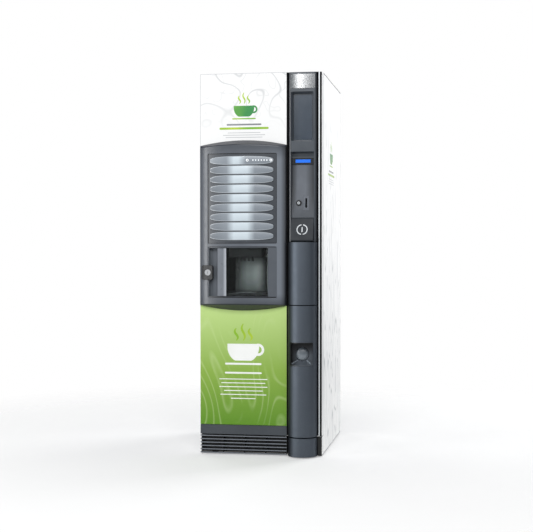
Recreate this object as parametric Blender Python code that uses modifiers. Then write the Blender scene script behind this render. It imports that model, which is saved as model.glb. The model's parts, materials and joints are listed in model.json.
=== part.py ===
"""Free-standing hot drinks vending machine, as an assembly of separate pieces.

Metres. +X is to the right of someone facing the machine, the front faces -Y and +Z is up.
The origin is on the floor, under the middle of the machine's overall box.
"""

import math

import bmesh
import bpy
from mathutils import Matrix, Vector

# ---------------------------------------------------------------- driving sizes
HEIGHT = 1.830
WIDTH = 0.590
BODY_DEPTH = 0.735          # from the door's front skin to the back
COLUMN_BULGE = 0.062        # how far the half-round column stands in front of that skin

CLEAR = 0.0003              # gap between pieces that seat on each other
SHEET = 0.0015              # folded steel sheet
PANEL = 0.002               # front panels
MOULD = 0.003               # wall of the moulded covers

FLOOR_GAP = 0.005           # from the floor up to the skirts
FOOT_RADIUS = 0.022
FOOT_INSET = 0.055
PLINTH_TOP = 0.093
DOOR_GAP = 0.004            # round the main door
DOOR_DEPTH = 0.065
WEB_SETBACK = 0.028         # from the front skin to the door's inner sheet

OUT = WIDTH / 2
BACK = (BODY_DEPTH + COLUMN_BULGE) / 2
FRONT = BACK - BODY_DEPTH
DOOR_BACK = FRONT + DOOR_DEPTH
CABINET_FRONT = DOOR_BACK + DOOR_GAP
DOOR_BOTTOM = PLINTH_TOP + DOOR_GAP
DOOR_TOP = HEIGHT - DOOR_GAP
INSIDE = OUT - SHEET - CLEAR
WEB_FRONT = FRONT + WEB_SETBACK
WEB_BACK = WEB_FRONT + SHEET

# cabinet
FLANGE_LOCK = 0.012         # front flanges of the two sides
FLANGE_HINGE = 0.045
REAR_LOW = 0.064
REAR_LIP = 0.015
VENT_GROUPS = (0.30, HEIGHT - 0.28)
VENT_ROWS = 6
VENT_PITCH = 0.016
VENT_COLUMNS = (-0.12, 0.12)
VENT_LENGTH = 0.15
VENT_HEIGHT = 0.006
INLET_X = OUT - 0.095
INLET_Z = 0.14
INLET_HALF = 0.015
WATER_HOLE = 0.014
BASE_TOP = 0.062
BASE_FRONT = FRONT + 0.030
BASE_REAR = BACK - REAR_LIP - 0.0005 - CLEAR
BASE_SHEET = 0.002
SLAT_COUNT = 6
SLAT_PITCH = 0.0162
SLAT_TOP_Z = 0.0885
SLAT_THICK = 0.0046
SLAT_DEPTH = 0.016

# main door hinge
HINGE_INSET = 0.006         # pin axis from the side and from the door's back edge
HINGE_PIN_RADIUS = 0.003
HINGE_PLATE = 0.0025
HINGE_ARM = 0.045
HINGE_LEG = 0.057           # height of the bolted leg
HINGE_X = OUT - HINGE_INSET
HINGE_Y = DOOR_BACK - HINGE_INSET
PIN_CLEAR = 0.0004

# fascia, the bowed moulding with the selection keys and the cup compartment
RIGHT_FIELD = 0.169         # width of the door's right-hand field, which holds the column
SPLIT = OUT - RIGHT_FIELD
FASCIA_MID = (SPLIT - OUT) / 2
FASCIA_HALF = (SPLIT + OUT) / 2
FASCIA_EDGE = 0.015         # how far the face stands out near its ends
FASCIA_CROWN = 0.030        # and how much more in the middle
FASCIA_FILLET = 0.040       # width of the round at each end
FIELD_HALF = FASCIA_HALF - 0.0425   # half the width of the key field and of the compartment
FIELD_INSET = 0.0035        # the key panel lies this far behind the face
KEYS_HIGH = 1.441
KEY_COUNT = 9               # the top one is the fixed sugar display
KEY_PITCH = 0.0448
KEY_TOP_Z = KEYS_HIGH - 0.0343
KEYS_LOW = KEYS_HIGH - KEY_COUNT * KEY_PITCH - 0.0258
FASCIA_TOP = KEYS_HIGH + 0.040      # top edge at the ends, and how much it arches up
FASCIA_TOP_ARCH = 0.0245
FACE_TOP = FASCIA_TOP - 0.0085
FACE_TOP_ARCH = 0.010
KEY_GAP = 0.0046            # dark line between neighbouring keys
KEY_HEIGHT = KEY_PITCH - KEY_GAP
KEY_HALF_LENGTH = FIELD_HALF - 0.0140
KEY_MID = FASCIA_MID - 0.002
KEY_STANDS = 0.0035         # the keys stand proud of their panel
KEY_CROWN = 0.0028
KEY_STEPS = 6
KEY_END_SHARE = 0.045       # blunt ends, as a share of the height
SUGAR_KEY_RADIUS = 0.0068
SUGAR_PLUS_X = KEY_MID + KEY_HALF_LENGTH - 0.0110
SUGAR_MINUS_X = SUGAR_PLUS_X - 0.1115

BAY_HEIGHT = 0.2445         # cup compartment in the fascia
BAY_HIGH = KEYS_LOW - 0.014
BAY_LOW = BAY_HIGH - BAY_HEIGHT
FASCIA_BOTTOM = BAY_LOW - 0.0365
FASCIA_BOTTOM_ARCH = 0.025
FACE_BOTTOM = FASCIA_BOTTOM + 0.0015
FACE_BOTTOM_ARCH = 0.0045
BAY_INSET = 0.0035
BAY_WALL = 0.0065
BAY_BACK = FRONT + 0.010
FINGER_WIDTH = 0.046
DOORWAY_LEFT = FASCIA_MID - FIELD_HALF + FINGER_WIDTH
DOORWAY_RIGHT = FASCIA_MID + FIELD_HALF - 0.0418
GRIP_WIDTH = 0.047
CUP_DOOR_THICK = 0.003
CUP_DOOR_SETBACK = 0.0045
CUP_HINGE_RADIUS = 0.004
CUP_PIVOT_RADIUS = 0.002
NICHE_DEPTH = 0.160
NICHE_WALL = 0.0025
NICHE_LEFT = DOORWAY_LEFT + 0.0025
NICHE_RIGHT = DOORWAY_RIGHT - 0.0020
NICHE_MID = (NICHE_RIGHT + NICHE_LEFT) / 2
NICHE_HALF = (NICHE_RIGHT - NICHE_LEFT) / 2
NICHE_LOW = BAY_LOW + 0.004
NICHE_HIGH = BAY_HIGH - 0.0035
TRAY_FLOOR = NICHE_LOW + 0.004
TRAY_HEIGHT = 0.016
GRILLE_SLOTS = 7
GRILLE_PITCH = 0.016
SPOUT_LOW = BAY_HIGH - 0.050
SPOUT_NOZZLES = (-0.030, -0.010, 0.010, 0.030)

LOCK_X = -OUT + 0.0435
LOCK_Z = BAY_LOW + 0.1205
LOCK_RADIUS = 0.0145
LOCK_BACK = FRONT - 0.0065
LOCK_PLATE_MID = LOCK_X - 0.005
LOCK_PLATE_HALF_W = 0.0285
LOCK_PLATE_HALF_H = 0.0345
CAM_LENGTH = 0.037

BAND_TOP = 0.1415
SEAM = 0.002                # dark line between neighbouring front panels

# right-hand column
TRIM_RIGHT = OUT - 0.0084
TRIM_LEFT = TRIM_RIGHT - 0.0066
COLUMN_GAP = 0.007          # black gap on both sides of the column
COLUMN_LEFT = SPLIT + COLUMN_GAP
COLUMN_RIGHT = TRIM_LEFT - COLUMN_GAP
COLUMN_MID = (COLUMN_LEFT + COLUMN_RIGHT) / 2
COLUMN_HALF = (COLUMN_RIGHT - COLUMN_LEFT) / 2
COLUMN_PROUD = 0.004        # the flat upper part stands this far in front of the skin
COLUMN_SEAM = 0.004
COLUMN_BREAK = 0.7205       # seam between the two half-round covers
COLUMN_STEPS = 14
CARRIER_BACK = WEB_FRONT - CLEAR
CARRIER_FACE = CARRIER_BACK - 0.0035
HEAD_BOTTOM = 1.0205
HEAD_TOP = DOOR_TOP - SHEET - CLEAR
HEAD_BACK = CARRIER_FACE - CLEAR
HEAD_FRONT = FRONT - COLUMN_PROUD
HEAD_CORNER = 0.0155
RECESS_HALF = COLUMN_HALF - 0.0155
RECESS_TOP = 1.4475
RECESS_DEPTH = 0.0205
BROW_FALL = 0.0235
WINDOW_HALF = COLUMN_HALF - 0.016
WINDOW_LOW = RECESS_TOP + 0.0485
WINDOW_HIGH = DOOR_TOP - 0.094
WINDOW_BACK = FRONT + 0.0165
WINDOW_LEDGE = 0.004
BADGE_HIGH = DOOR_TOP - 0.011
BADGE_LOW = BADGE_HIGH - 0.068
BADGE_MID = COLUMN_MID + 0.002
BADGE_HALF = COLUMN_HALF - 0.011

# payment unit in the column's recess
COIN_PLATE_TOP = 1.134
COIN_PLATE_PROUD = 0.030
PAYMENT_LOW = COIN_PLATE_TOP + CLEAR * 2
PAYMENT_LEAN = 0.0135       # how far the panel leans back between its foot and the display
DISPLAY_LOW = RECESS_TOP - 0.0595
DISPLAY_HIGH = DISPLAY_LOW + 0.031
GLASS_HALF = RECESS_HALF - 0.0183
GLASS_LOW = DISPLAY_LOW + 0.008
GLASS_HIGH = GLASS_LOW + 0.016
RETURN_BUTTON_X = COLUMN_MID - 0.0195
RETURN_BUTTON_Z = 1.205
RETURN_BUTTON_RADIUS = 0.0130
RETURN_BUTTON_TRAVEL = 0.0035
SLOT_X = COLUMN_MID + 0.016
SLOT_HALF = 0.0035
SLOT_HEIGHT = 0.046
SLOT_LOW = RETURN_BUTTON_Z - SLOT_HEIGHT / 2
SLOT_HIGH = SLOT_LOW + SLOT_HEIGHT
ENTRY_MARGIN = 0.0105       # body of the coin entry round its slot
COIN_PORT_LEFT = COLUMN_MID - 0.038
COIN_PORT_RIGHT = COLUMN_MID + 0.042
COIN_PORT_LOW = COIN_PLATE_TOP + 0.016
COIN_PORT_HIGH = COIN_PORT_LOW + 0.150
MECHANISM_LEFT = COIN_PORT_LEFT - 0.012
MECHANISM_RIGHT = COIN_PORT_RIGHT + 0.003
MECHANISM_LOW = COIN_PORT_LOW - 0.100
MECHANISM_HEIGHT = 0.350
MECHANISM_DEPTH = 0.075
COIN_TUBE_COUNT = 4
COIN_TUBE_RADIUS = 0.0098
COIN_TUBE_HEIGHT = 0.142

CUP_RETURN_HALF = COLUMN_HALF - 0.0145     # coin return recess in the lower cover
CUP_RETURN_LOW = 0.4335
CUP_RETURN_HIGH = CUP_RETURN_LOW + 0.112
CUP_RETURN_CORNER = 0.004
CUP_RETURN_WALL = FRONT - 0.009
CUP_RETURN_BACK = FRONT + 0.002
CUP_RETURN_RIDGE = 0.030
FLAP_RADIUS = 0.031
FLAP_Z = CUP_RETURN_LOW + 0.0555
FLAP_HINGE_Z = FLAP_Z + FLAP_RADIUS + 0.001
FLAP_PIN_RADIUS = 0.0015
FLAP_PIN_HALF = 0.015

# equipment inside the cabinet
SHELF_Z = 1.010
SHELF_FRONT = FRONT + NICHE_DEPTH + 0.0115
SHELF_BACK = BACK - 0.016
SHELF_LIP = 0.020
RACK_HEIGHT = 0.330
RACK_Z = SHELF_Z + RACK_HEIGHT
RACK_SHEET = 0.002
RACK_FRONT = SHELF_FRONT + 0.035
RACK_BACK = RACK_FRONT + 0.280
CUP_TUBE_RADIUS = 0.042     # inside of a cup tube
CUP_TUBE_WALL = 0.002
CUP_TUBE_GAP = 0.0045
TUBE_COUNT = 4
TUBE_RING = (CUP_TUBE_RADIUS + CUP_TUBE_WALL + CUP_TUBE_GAP / 2) / math.sin(math.pi / TUBE_COUNT)
TURRET_RADIUS = TUBE_RING + CUP_TUBE_RADIUS + 0.0045
TURRET_X = -INSIDE + TURRET_RADIUS + 0.0163
TURRET_Y = -0.010
HEADROOM = 0.070            # from the cup turret and the bean hopper up to the top
TURRET_HEIGHT = HEIGHT - RACK_Z - HEADROOM
HOPPER_WIDTH = 0.127
HOPPER_RIGHT = INSIDE - 0.011
HOPPER_LEFT = HOPPER_RIGHT - HOPPER_WIDTH
CANISTER_COUNT = 3          # they share what is left between the turret and the hopper
CANISTER_GAP = 0.003
CANISTER_LEFT = TURRET_X + TURRET_RADIUS + 0.008
CANISTER_WIDTH = (HOPPER_LEFT - 0.005 - CANISTER_LEFT) / CANISTER_COUNT - CANISTER_GAP
CANISTER_HEIGHT = 0.250
CANISTER_DEPTH = 0.250
CANISTER_FRONT = RACK_FRONT + 0.015
BOWL_RADIUS = CANISTER_WIDTH / 2 - 0.005
BOWL_DEPTH = 0.125
GRINDER_HEIGHT = 0.160
HOPPER_LOW = RACK_Z + GRINDER_HEIGHT
HOPPER_HIGH = HEIGHT - HEADROOM
HOPPER_DEPTH = 0.240
HOPPER_WALL = 0.0025
HOPPER_NECK = 0.30          # width of the outlet as a share of the top
GRINDER_X = (HOPPER_LEFT + HOPPER_RIGHT) / 2
GRINDER_Y = -0.010
GRINDER_RADIUS = 0.048
THROAT = 0.017
BREW_HALF = 0.055
BREW_FRONT = GRINDER_Y - 0.065
BREW_DEPTH = 0.170
BREW_HEIGHT = 0.200
BREW_NECK = 0.034
BOILER_RADIUS = 0.058
BOILER_HEIGHT = 0.240
BOILER_X = INSIDE - 0.103
BOILER_Y = BACK - 0.1185
BUCKET_LEFT = -INSIDE + 0.053
BUCKET_WIDTH = 0.250
BUCKET_FRONT = SHELF_FRONT + 0.015
BUCKET_DEPTH = 0.260
BUCKET_HEIGHT = 0.280
BUCKET_FLARE = 0.015
BOX_RIGHT = INSIDE - 0.008
BOX_WIDTH = 0.224
BOX_BACK = BACK - 0.0685
BOX_DEPTH = 0.180
BOX_HEIGHT = 0.300
FIN_COUNT = 15
FIN_DEPTH = 0.012


# ---------------------------------------------------------------- scene and helpers
def clear_scene():
    for item in list(bpy.data.objects):
        bpy.data.objects.remove(item, do_unlink=True)
    for mesh in list(bpy.data.meshes):
        bpy.data.meshes.remove(mesh)


def new_collection(name):
    collection = bpy.data.collections.new(name)
    bpy.context.scene.collection.children.link(collection)
    return collection


clear_scene()
MACHINE = new_collection("hot_drinks_machine")
CUTTERS = new_collection("cutters")


def finish(name, colour, roughness, metallic=0.0):
    material = bpy.data.materials.new(name)
    material.use_nodes = True
    shader = material.node_tree.nodes["Principled BSDF"]
    shader.inputs["Base Color"].default_value = (*colour, 1.0)
    shader.inputs["Roughness"].default_value = roughness
    shader.inputs["Metallic"].default_value = metallic
    return material


WHITE_PAINT = finish("white_paint", (0.90, 0.90, 0.90), 0.35)
GREY_MOULDING = finish("grey_moulding", (0.13, 0.15, 0.17), 0.38)
DARK_MOULDING = finish("dark_moulding", (0.05, 0.06, 0.07), 0.45)
BLACK_PLASTIC = finish("black_plastic", (0.01, 0.01, 0.012), 0.5)
KEY_PLASTIC = finish("key_plastic", (0.42, 0.46, 0.50), 0.3)
KEY_WHITE = finish("key_white", (0.80, 0.80, 0.80), 0.3)
GREEN_PRINT = finish("green_print", (0.25, 0.42, 0.10), 0.35)
SMOKED_CLEAR = finish("smoked_clear", (0.03, 0.035, 0.035), 0.1)
WINDOW_GREY = finish("window_grey", (0.08, 0.10, 0.12), 0.25)
DISPLAY_BLUE = finish("display_blue", (0.03, 0.15, 0.75), 0.2)
BRIGHT_STEEL = finish("bright_steel", (0.75, 0.75, 0.75), 0.25, 1.0)
TRIM_ALUMINIUM = finish("trim_aluminium", (0.68, 0.72, 0.75), 0.3, 1.0)
ZINC_STEEL = finish("zinc_steel", (0.55, 0.56, 0.57), 0.45, 1.0)
POWDER_PLASTIC = finish("canister_plastic", (0.75, 0.77, 0.78), 0.3)
BEAN_PLASTIC = finish("hopper_plastic", (0.20, 0.16, 0.13), 0.2)


def show(name, mesh, material, origin=None, parent=None):
    """One named sub-part. A moving piece has its origin on its joint's axis."""
    piece = bpy.data.objects.new(name, mesh)
    MACHINE.objects.link(piece)
    mesh.materials.clear()
    mesh.materials.append(material)
    if origin is not None:
        mesh.transform(Matrix.Translation(-Vector(origin)))
        piece.location = origin
    if parent is not None:
        piece.parent = parent
        piece.matrix_parent_inverse = Matrix.Translation(parent.location).inverted()
    return piece


def guide(mesh, name="cutter"):
    """A shape that only cuts or is joined to others."""
    cutter = bpy.data.objects.new(name, mesh)
    CUTTERS.objects.link(cutter)
    cutter.hide_render = True
    cutter.display_type = "WIRE"
    return cutter


def boolean(piece, mesh, operation):
    modifier = piece.modifiers.new(operation.lower(), "BOOLEAN")
    modifier.operation = operation
    modifier.solver = "EXACT"
    modifier.object = guide(mesh, piece.name + "_" + operation.lower())


def cut(piece, *meshes):
    for mesh in meshes:
        boolean(piece, mesh, "DIFFERENCE")


def join(piece, *meshes):
    for mesh in meshes:
        boolean(piece, mesh, "UNION")


def round_edges(piece, width, segments=2, angle=40.0):
    bevel = piece.modifiers.new("rounded_edges", "BEVEL")
    bevel.width = width
    bevel.segments = segments
    bevel.limit_method = "ANGLE"
    bevel.angle_limit = math.radians(angle)
    bevel.harden_normals = False


def smooth(mesh, angle=35.0):
    mesh.shade_smooth()
    mesh.set_sharp_from_angle(angle=math.radians(angle))
    return mesh


def mesh_from(work):
    bmesh.ops.recalc_face_normals(work, faces=work.faces)
    mesh = bpy.data.meshes.new("shape")
    work.to_mesh(mesh)
    work.free()
    return mesh


def block(x0, x1, y0, y1, z0, z1):
    """A box between two corners."""
    work = bmesh.new()
    size = Matrix.Diagonal((x1 - x0, y1 - y0, z1 - z0, 1.0))
    place = Matrix.Translation(((x0 + x1) / 2, (y0 + y1) / 2, (z0 + z1) / 2))
    bmesh.ops.create_cube(work, size=1.0, matrix=place @ size)
    return mesh_from(work)


def turn_to(axis):
    """Rotation that takes a shape standing along Z to the named axis."""
    if axis == "Y":
        return Matrix.Rotation(math.radians(90), 4, "X")
    if axis == "X":
        return Matrix(((0, 0, 1, 0), (1, 0, 0, 0), (0, 1, 0, 0), (0, 0, 0, 1)))
    return Matrix.Identity(4)


def rod(radius, centre, low, high, axis="Z", segments=24, radius_high=None):
    """A cylinder or cone along an axis; centre gives the two other coordinates in order."""
    work = bmesh.new()
    length = high - low
    top = radius if radius_high is None else radius_high
    middle = (low + high) / 2
    if axis == "Z":
        place = Matrix.Translation((centre[0], centre[1], middle))
    elif axis == "Y":
        place = Matrix.Translation((centre[0], middle, centre[1])) @ Matrix.Rotation(math.radians(-90), 4, "X")
    else:
        place = Matrix.Translation((middle, centre[0], centre[1])) @ Matrix.Rotation(math.radians(90), 4, "Y")
    bmesh.ops.create_cone(work, cap_ends=True, segments=segments, radius1=radius,
                          radius2=top, depth=length, matrix=place)
    return smooth(mesh_from(work))


def plate(outline, low, high, axis="Z"):
    """A flat outline given thickness. axis Z takes (x, y) points, Y takes (x, z), X takes (y, z)."""
    curve = bpy.data.curves.new("outline", "CURVE")
    curve.dimensions = "2D"
    curve.fill_mode = "BOTH"
    curve.extrude = (high - low) / 2
    spline = curve.splines.new("POLY")
    spline.points.add(len(outline) - 1)
    for point, (across, up) in zip(spline.points, outline):
        point.co = (across, up, 0.0, 1.0)
    spline.use_cyclic_u = True
    holder = bpy.data.objects.new("outline", curve)
    CUTTERS.objects.link(holder)
    bpy.context.view_layer.update()
    evaluated = holder.evaluated_get(bpy.context.evaluated_depsgraph_get())
    mesh = bpy.data.meshes.new_from_object(evaluated)
    bpy.data.objects.remove(holder, do_unlink=True)
    bpy.data.curves.remove(curve)
    middle = (low + high) / 2
    along = {"Z": (0, 0, middle), "Y": (0, middle, 0), "X": (middle, 0, 0)}[axis]
    work = bmesh.new()
    work.from_mesh(mesh)
    bpy.data.meshes.remove(mesh)
    bmesh.ops.remove_doubles(work, verts=work.verts, dist=0.00001)
    bmesh.ops.transform(work, matrix=Matrix.Translation(along) @ turn_to(axis), verts=work.verts)
    return mesh_from(work)


def loft(sections):
    """A closed body through rings of points, all with the same count and order."""
    work = bmesh.new()
    rings = [[work.verts.new(point) for point in ring] for ring in sections]
    count = len(rings[0])
    for first, second in zip(rings, rings[1:]):
        for index in range(count):
            following = (index + 1) % count
            work.faces.new((first[index], first[following], second[following], second[index]))
    work.faces.new(rings[0])
    work.faces.new(reversed(rings[-1]))
    bmesh.ops.triangulate(work, faces=work.faces)
    return mesh_from(work)


def turned(profile, centre, segments=24):
    """A profile of (radius, z) points, top to bottom, swept round a vertical axis."""
    mesh = bpy.data.meshes.new("profile")
    points = [(radius, 0.0, z) for radius, z in profile]
    mesh.from_pydata(points, [(i, i + 1) for i in range(len(points) - 1)], [])
    holder = bpy.data.objects.new("profile", mesh)
    CUTTERS.objects.link(holder)
    screw = holder.modifiers.new("turn", "SCREW")
    screw.steps = segments
    screw.render_steps = segments
    screw.use_merge_vertices = True
    screw.merge_threshold = 0.00001
    bpy.context.view_layer.update()
    evaluated = holder.evaluated_get(bpy.context.evaluated_depsgraph_get())
    shape = bpy.data.meshes.new_from_object(evaluated)
    bpy.data.objects.remove(holder, do_unlink=True)
    bpy.data.meshes.remove(mesh)
    work = bmesh.new()
    work.from_mesh(shape)
    bpy.data.meshes.remove(shape)
    bmesh.ops.remove_doubles(work, verts=work.verts, dist=0.00001)
    bmesh.ops.translate(work, vec=(centre[0], centre[1], 0.0), verts=work.verts)
    return smooth(mesh_from(work))


def arc(centre, radius, start, end, steps):
    """Points on an arc in a plane, both ends included, angles in degrees."""
    points = []
    for step in range(steps + 1):
        angle = math.radians(start + (end - start) * step / steps)
        points.append((centre[0] + radius * math.cos(angle), centre[1] + radius * math.sin(angle)))
    return points


def rounded(x0, x1, z0, z1, radius, steps=4):
    """Outline of a rectangle with round corners."""
    points = arc((x1 - radius, z1 - radius), radius, 0, 90, steps)
    points += arc((x0 + radius, z1 - radius), radius, 90, 180, steps)
    points += arc((x0 + radius, z0 + radius), radius, 180, 270, steps)
    points += arc((x1 - radius, z0 + radius), radius, 270, 360, steps)
    return points


def span(start, end, steps):
    return [start + (end - start) * step / steps for step in range(steps + 1)]


def pivot(name, point, parent=None):
    """An empty on a joint's axis."""
    empty = bpy.data.objects.new(name, None)
    empty.empty_display_size = 0.05
    empty.location = point
    MACHINE.objects.link(empty)
    if parent is not None:
        empty.parent = parent
        empty.matrix_parent_inverse = Matrix.Translation(parent.location).inverted()
    return empty


# ---------------------------------------------------------------- fascia curve
def bow(x):
    """1 in the middle of the fascia, 0 at its ends."""
    across = (x - FASCIA_MID) / FASCIA_HALF
    return 1.0 - across * across


def reach(x):
    """How far the fascia's face stands in front of the door's skin at x."""
    out = FASCIA_EDGE + FASCIA_CROWN * bow(x)
    from_end = FASCIA_HALF - abs(x - FASCIA_MID)
    if from_end < FASCIA_FILLET:
        lean = 1.0 - from_end / FASCIA_FILLET
        out *= 0.35 + 0.65 * math.sqrt(max(0.0, 1.0 - lean * lean))
    return out


def face_y(x, inset=0.0):
    return FRONT - reach(x) + inset


def arch_top(x):
    return FASCIA_TOP + FASCIA_TOP_ARCH * bow(x)


def arch_bottom(x):
    return FASCIA_BOTTOM - FASCIA_BOTTOM_ARCH * bow(x)


def fascia_stations(inset):
    """Places across the fascia, closer together on the round ends."""
    left = FASCIA_MID - FASCIA_HALF + inset
    right = FASCIA_MID + FASCIA_HALF - inset
    ends = [FASCIA_FILLET * share for share in (0.0, 0.06, 0.22, 0.5)]
    middle = span(left + FASCIA_FILLET, right - FASCIA_FILLET, 10)
    return [left + end for end in ends] + middle + [right - end for end in reversed(ends)]


def fascia_edge(x, wall, back):
    """Line in a plane across the door: edge, slanted crescent, face, slanted crescent, edge."""
    out = max(reach(x) - wall, 0.0015)
    low = arch_bottom(x) + wall
    face_low = FACE_BOTTOM + FACE_BOTTOM_ARCH * bow(x) + wall * 0.6
    face_high = FACE_TOP + FACE_TOP_ARCH * bow(x) - wall * 0.6
    high = arch_top(x) - wall
    return [(x, back, low), (x, FRONT - 0.0008, low), (x, FRONT - out, max(face_low, low + 0.0008)),
            (x, FRONT - out, min(face_high, high - 0.0008)), (x, FRONT - 0.0008, high), (x, back, high)]


def fascia_section(x, back):
    """The same line with the wall's thickness, as a ring open towards the door."""
    return fascia_edge(x, 0.0, back) + list(reversed(fascia_edge(x, MOULD, back)))


def bowed_strip(x0, x1, z0, z1, inset, thickness=None, back=None, steps=8):
    """A piece whose front follows the fascia's face at an inset: even thickness or a flat back."""
    xs = span(x0, x1, steps)
    front = [(x, face_y(x, inset)) for x in xs]
    if thickness is not None:
        rear = [(x, face_y(x, inset + thickness)) for x in reversed(xs)]
    else:
        rear = [(x1, back), (x0, back)]
    return plate(front + rear, z0, z1)


# ---------------------------------------------------------------- cabinet
def side_panel(name, side, flange, toe_front):
    """Sheet side with a front flange; its toe runs forward beside the kick panel."""
    skin = side * OUT
    inner = side * (OUT - SHEET)
    x0, x1 = min(skin, inner), max(skin, inner)
    top = HEIGHT - SHEET - CLEAR
    outline = [(toe_front, FLOOR_GAP), (BACK, FLOOR_GAP), (BACK, top), (CABINET_FRONT, top),
               (CABINET_FRONT, PLINTH_TOP), (toe_front, PLINTH_TOP)]
    piece = show(name, plate(outline, x0, x1, "X"), WHITE_PAINT)
    edge = side * (OUT - flange)
    f0, f1 = min(skin, edge), max(skin, edge)
    join(piece, block(f0, f1, CABINET_FRONT, CABINET_FRONT + SHEET, PLINTH_TOP, top - 0.025))
    return piece


def make_cabinet():
    side_panel("side_panel_left", -1, FLANGE_LOCK, FRONT + SLAT_DEPTH + SEAM)
    side_panel("side_panel_right", 1, FLANGE_HINGE, FRONT + PANEL)

    top = show("top_panel", block(-OUT, OUT, CABINET_FRONT, BACK, HEIGHT - SHEET, HEIGHT), WHITE_PAINT)
    join(top, block(-INSIDE, INSIDE, CABINET_FRONT, CABINET_FRONT + SHEET, HEIGHT - 0.022, HEIGHT - SHEET / 2))

    make_rear_panel()
    make_base()
    make_kick_panel()
    make_hinges()


def make_rear_panel():
    """Folded sheet with two groups of vent slots, a mains inlet and a water inlet hole."""
    face = BACK - SHEET
    lip = BACK - REAR_LIP
    outline = [(-INSIDE, BACK), (-INSIDE, lip), (-INSIDE + SHEET, lip), (-INSIDE + SHEET, face),
               (INSIDE - SHEET, face), (INSIDE - SHEET, lip), (INSIDE, lip), (INSIDE, BACK)]
    rear = show("rear_panel", plate(outline, REAR_LOW, HEIGHT - SHEET - CLEAR), WHITE_PAINT)
    slots = []
    for group_z in VENT_GROUPS:
        for row in range(VENT_ROWS):
            z = group_z + row * VENT_PITCH
            for x in VENT_COLUMNS:
                slots.append(block(x - VENT_LENGTH / 2, x + VENT_LENGTH / 2, face - 0.005, BACK + 0.005,
                                   z - VENT_HEIGHT / 2, z + VENT_HEIGHT / 2))
    cut(rear, merged(slots))
    cut(rear, block(INLET_X - INLET_HALF, INLET_X + INLET_HALF, face - 0.005, BACK + 0.005,
                    INLET_Z - INLET_HALF * 0.8, INLET_Z + INLET_HALF * 0.8))
    cut(rear, rod(WATER_HOLE, (-INLET_X, INLET_Z), face - 0.005, BACK + 0.005, "Y", 16))


def merged(meshes):
    """Several separate shapes as one mesh, to cut them all at once."""
    work = bmesh.new()
    for mesh in meshes:
        work.from_mesh(mesh)
        bpy.data.meshes.remove(mesh)
    return mesh_from(work)


def make_base():
    """Upturned steel tray with a black front plate behind the kick panel, standing on four feet."""
    side = INSIDE
    base = show("base_frame", block(-side, side, BASE_FRONT, BASE_REAR, 0.020, BASE_TOP), BLACK_PLASTIC)
    cut(base, block(-side + BASE_SHEET, side - BASE_SHEET, BASE_FRONT + BASE_SHEET, BASE_REAR - BASE_SHEET,
                    -0.01, BASE_TOP - BASE_SHEET))
    join(base, block(-side, side, BASE_FRONT, BASE_FRONT + BASE_SHEET, FLOOR_GAP + 0.003, PLINTH_TOP - 0.003))
    for x in (-side + FOOT_INSET, side - FOOT_INSET):
        for y in (BASE_FRONT + FOOT_INSET, BASE_REAR - FOOT_INSET):
            profile = [(0.0, BASE_TOP - 0.001), (0.006, BASE_TOP - 0.001), (0.006, 0.009), (FOOT_RADIUS, 0.006),
                       (FOOT_RADIUS, 0.0), (0.0, 0.0)]
            join(base, turned(profile, (x, y), 14))


def column_outline(half, proud, back):
    """Half-round column in plan, open towards the machine."""
    points = []
    for step in range(COLUMN_STEPS + 1):
        angle = math.pi * step / COLUMN_STEPS
        points.append((COLUMN_MID - half * math.cos(angle), FRONT - proud * math.sin(angle)))
    return [(COLUMN_MID - half, back)] + points + [(COLUMN_MID + half, back)]


def column_cover(z0, z1, back):
    """Half-round shell with even walls, open at the back."""
    outer = column_outline(COLUMN_HALF, COLUMN_BULGE, back)
    inner = column_outline(COLUMN_HALF - MOULD, COLUMN_BULGE - MOULD, back)
    return plate(outer + list(reversed(inner)), z0, z1)


def make_kick_panel():
    """Louvred kick panel, in one moulding with the column's foot and the black corner."""
    back = BASE_FRONT - CLEAR
    low = FLOOR_GAP
    ribs = []
    rib = 0.0035
    for x in span(-OUT + SHEET + 0.001, SPLIT - rib, 4):
        ribs.append(block(x, x + rib, FRONT + 0.0110, back, low + 0.0005, PLINTH_TOP - 0.001))
    kick = show("kick_panel", merged(ribs), DARK_MOULDING)
    slats = []
    for index in range(SLAT_COUNT):
        z = SLAT_TOP_Z - index * SLAT_PITCH
        profile = [(FRONT, z - SLAT_THICK / 2), (FRONT + SLAT_DEPTH, z - SLAT_THICK * 0.1),
                   (FRONT + SLAT_DEPTH, z + SLAT_THICK * 0.45), (FRONT, z + SLAT_THICK / 2)]
        slats.append(plate(profile, -OUT, SPLIT, "X"))
    join(kick, merged(slats))
    spine = block(-OUT + SHEET + 0.0008, OUT - SHEET - 0.0008, back - 0.004, back - 0.0002,
                  PLINTH_TOP - 0.012, PLINTH_TOP - 0.002)
    join(kick, spine)
    join(kick, column_cover(low, PLINTH_TOP, back - 0.0005))
    join(kick, block(COLUMN_MID + COLUMN_HALF + 0.003, OUT - 0.0003, FRONT, FRONT + PANEL - CLEAR,
                     low, PLINTH_TOP))
    join(kick, block(COLUMN_MID + COLUMN_HALF + 0.003, INSIDE - 0.0002, FRONT + PANEL / 2, back - 0.0006,
                     low + 0.0005, PLINTH_TOP - 0.0005))


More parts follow.
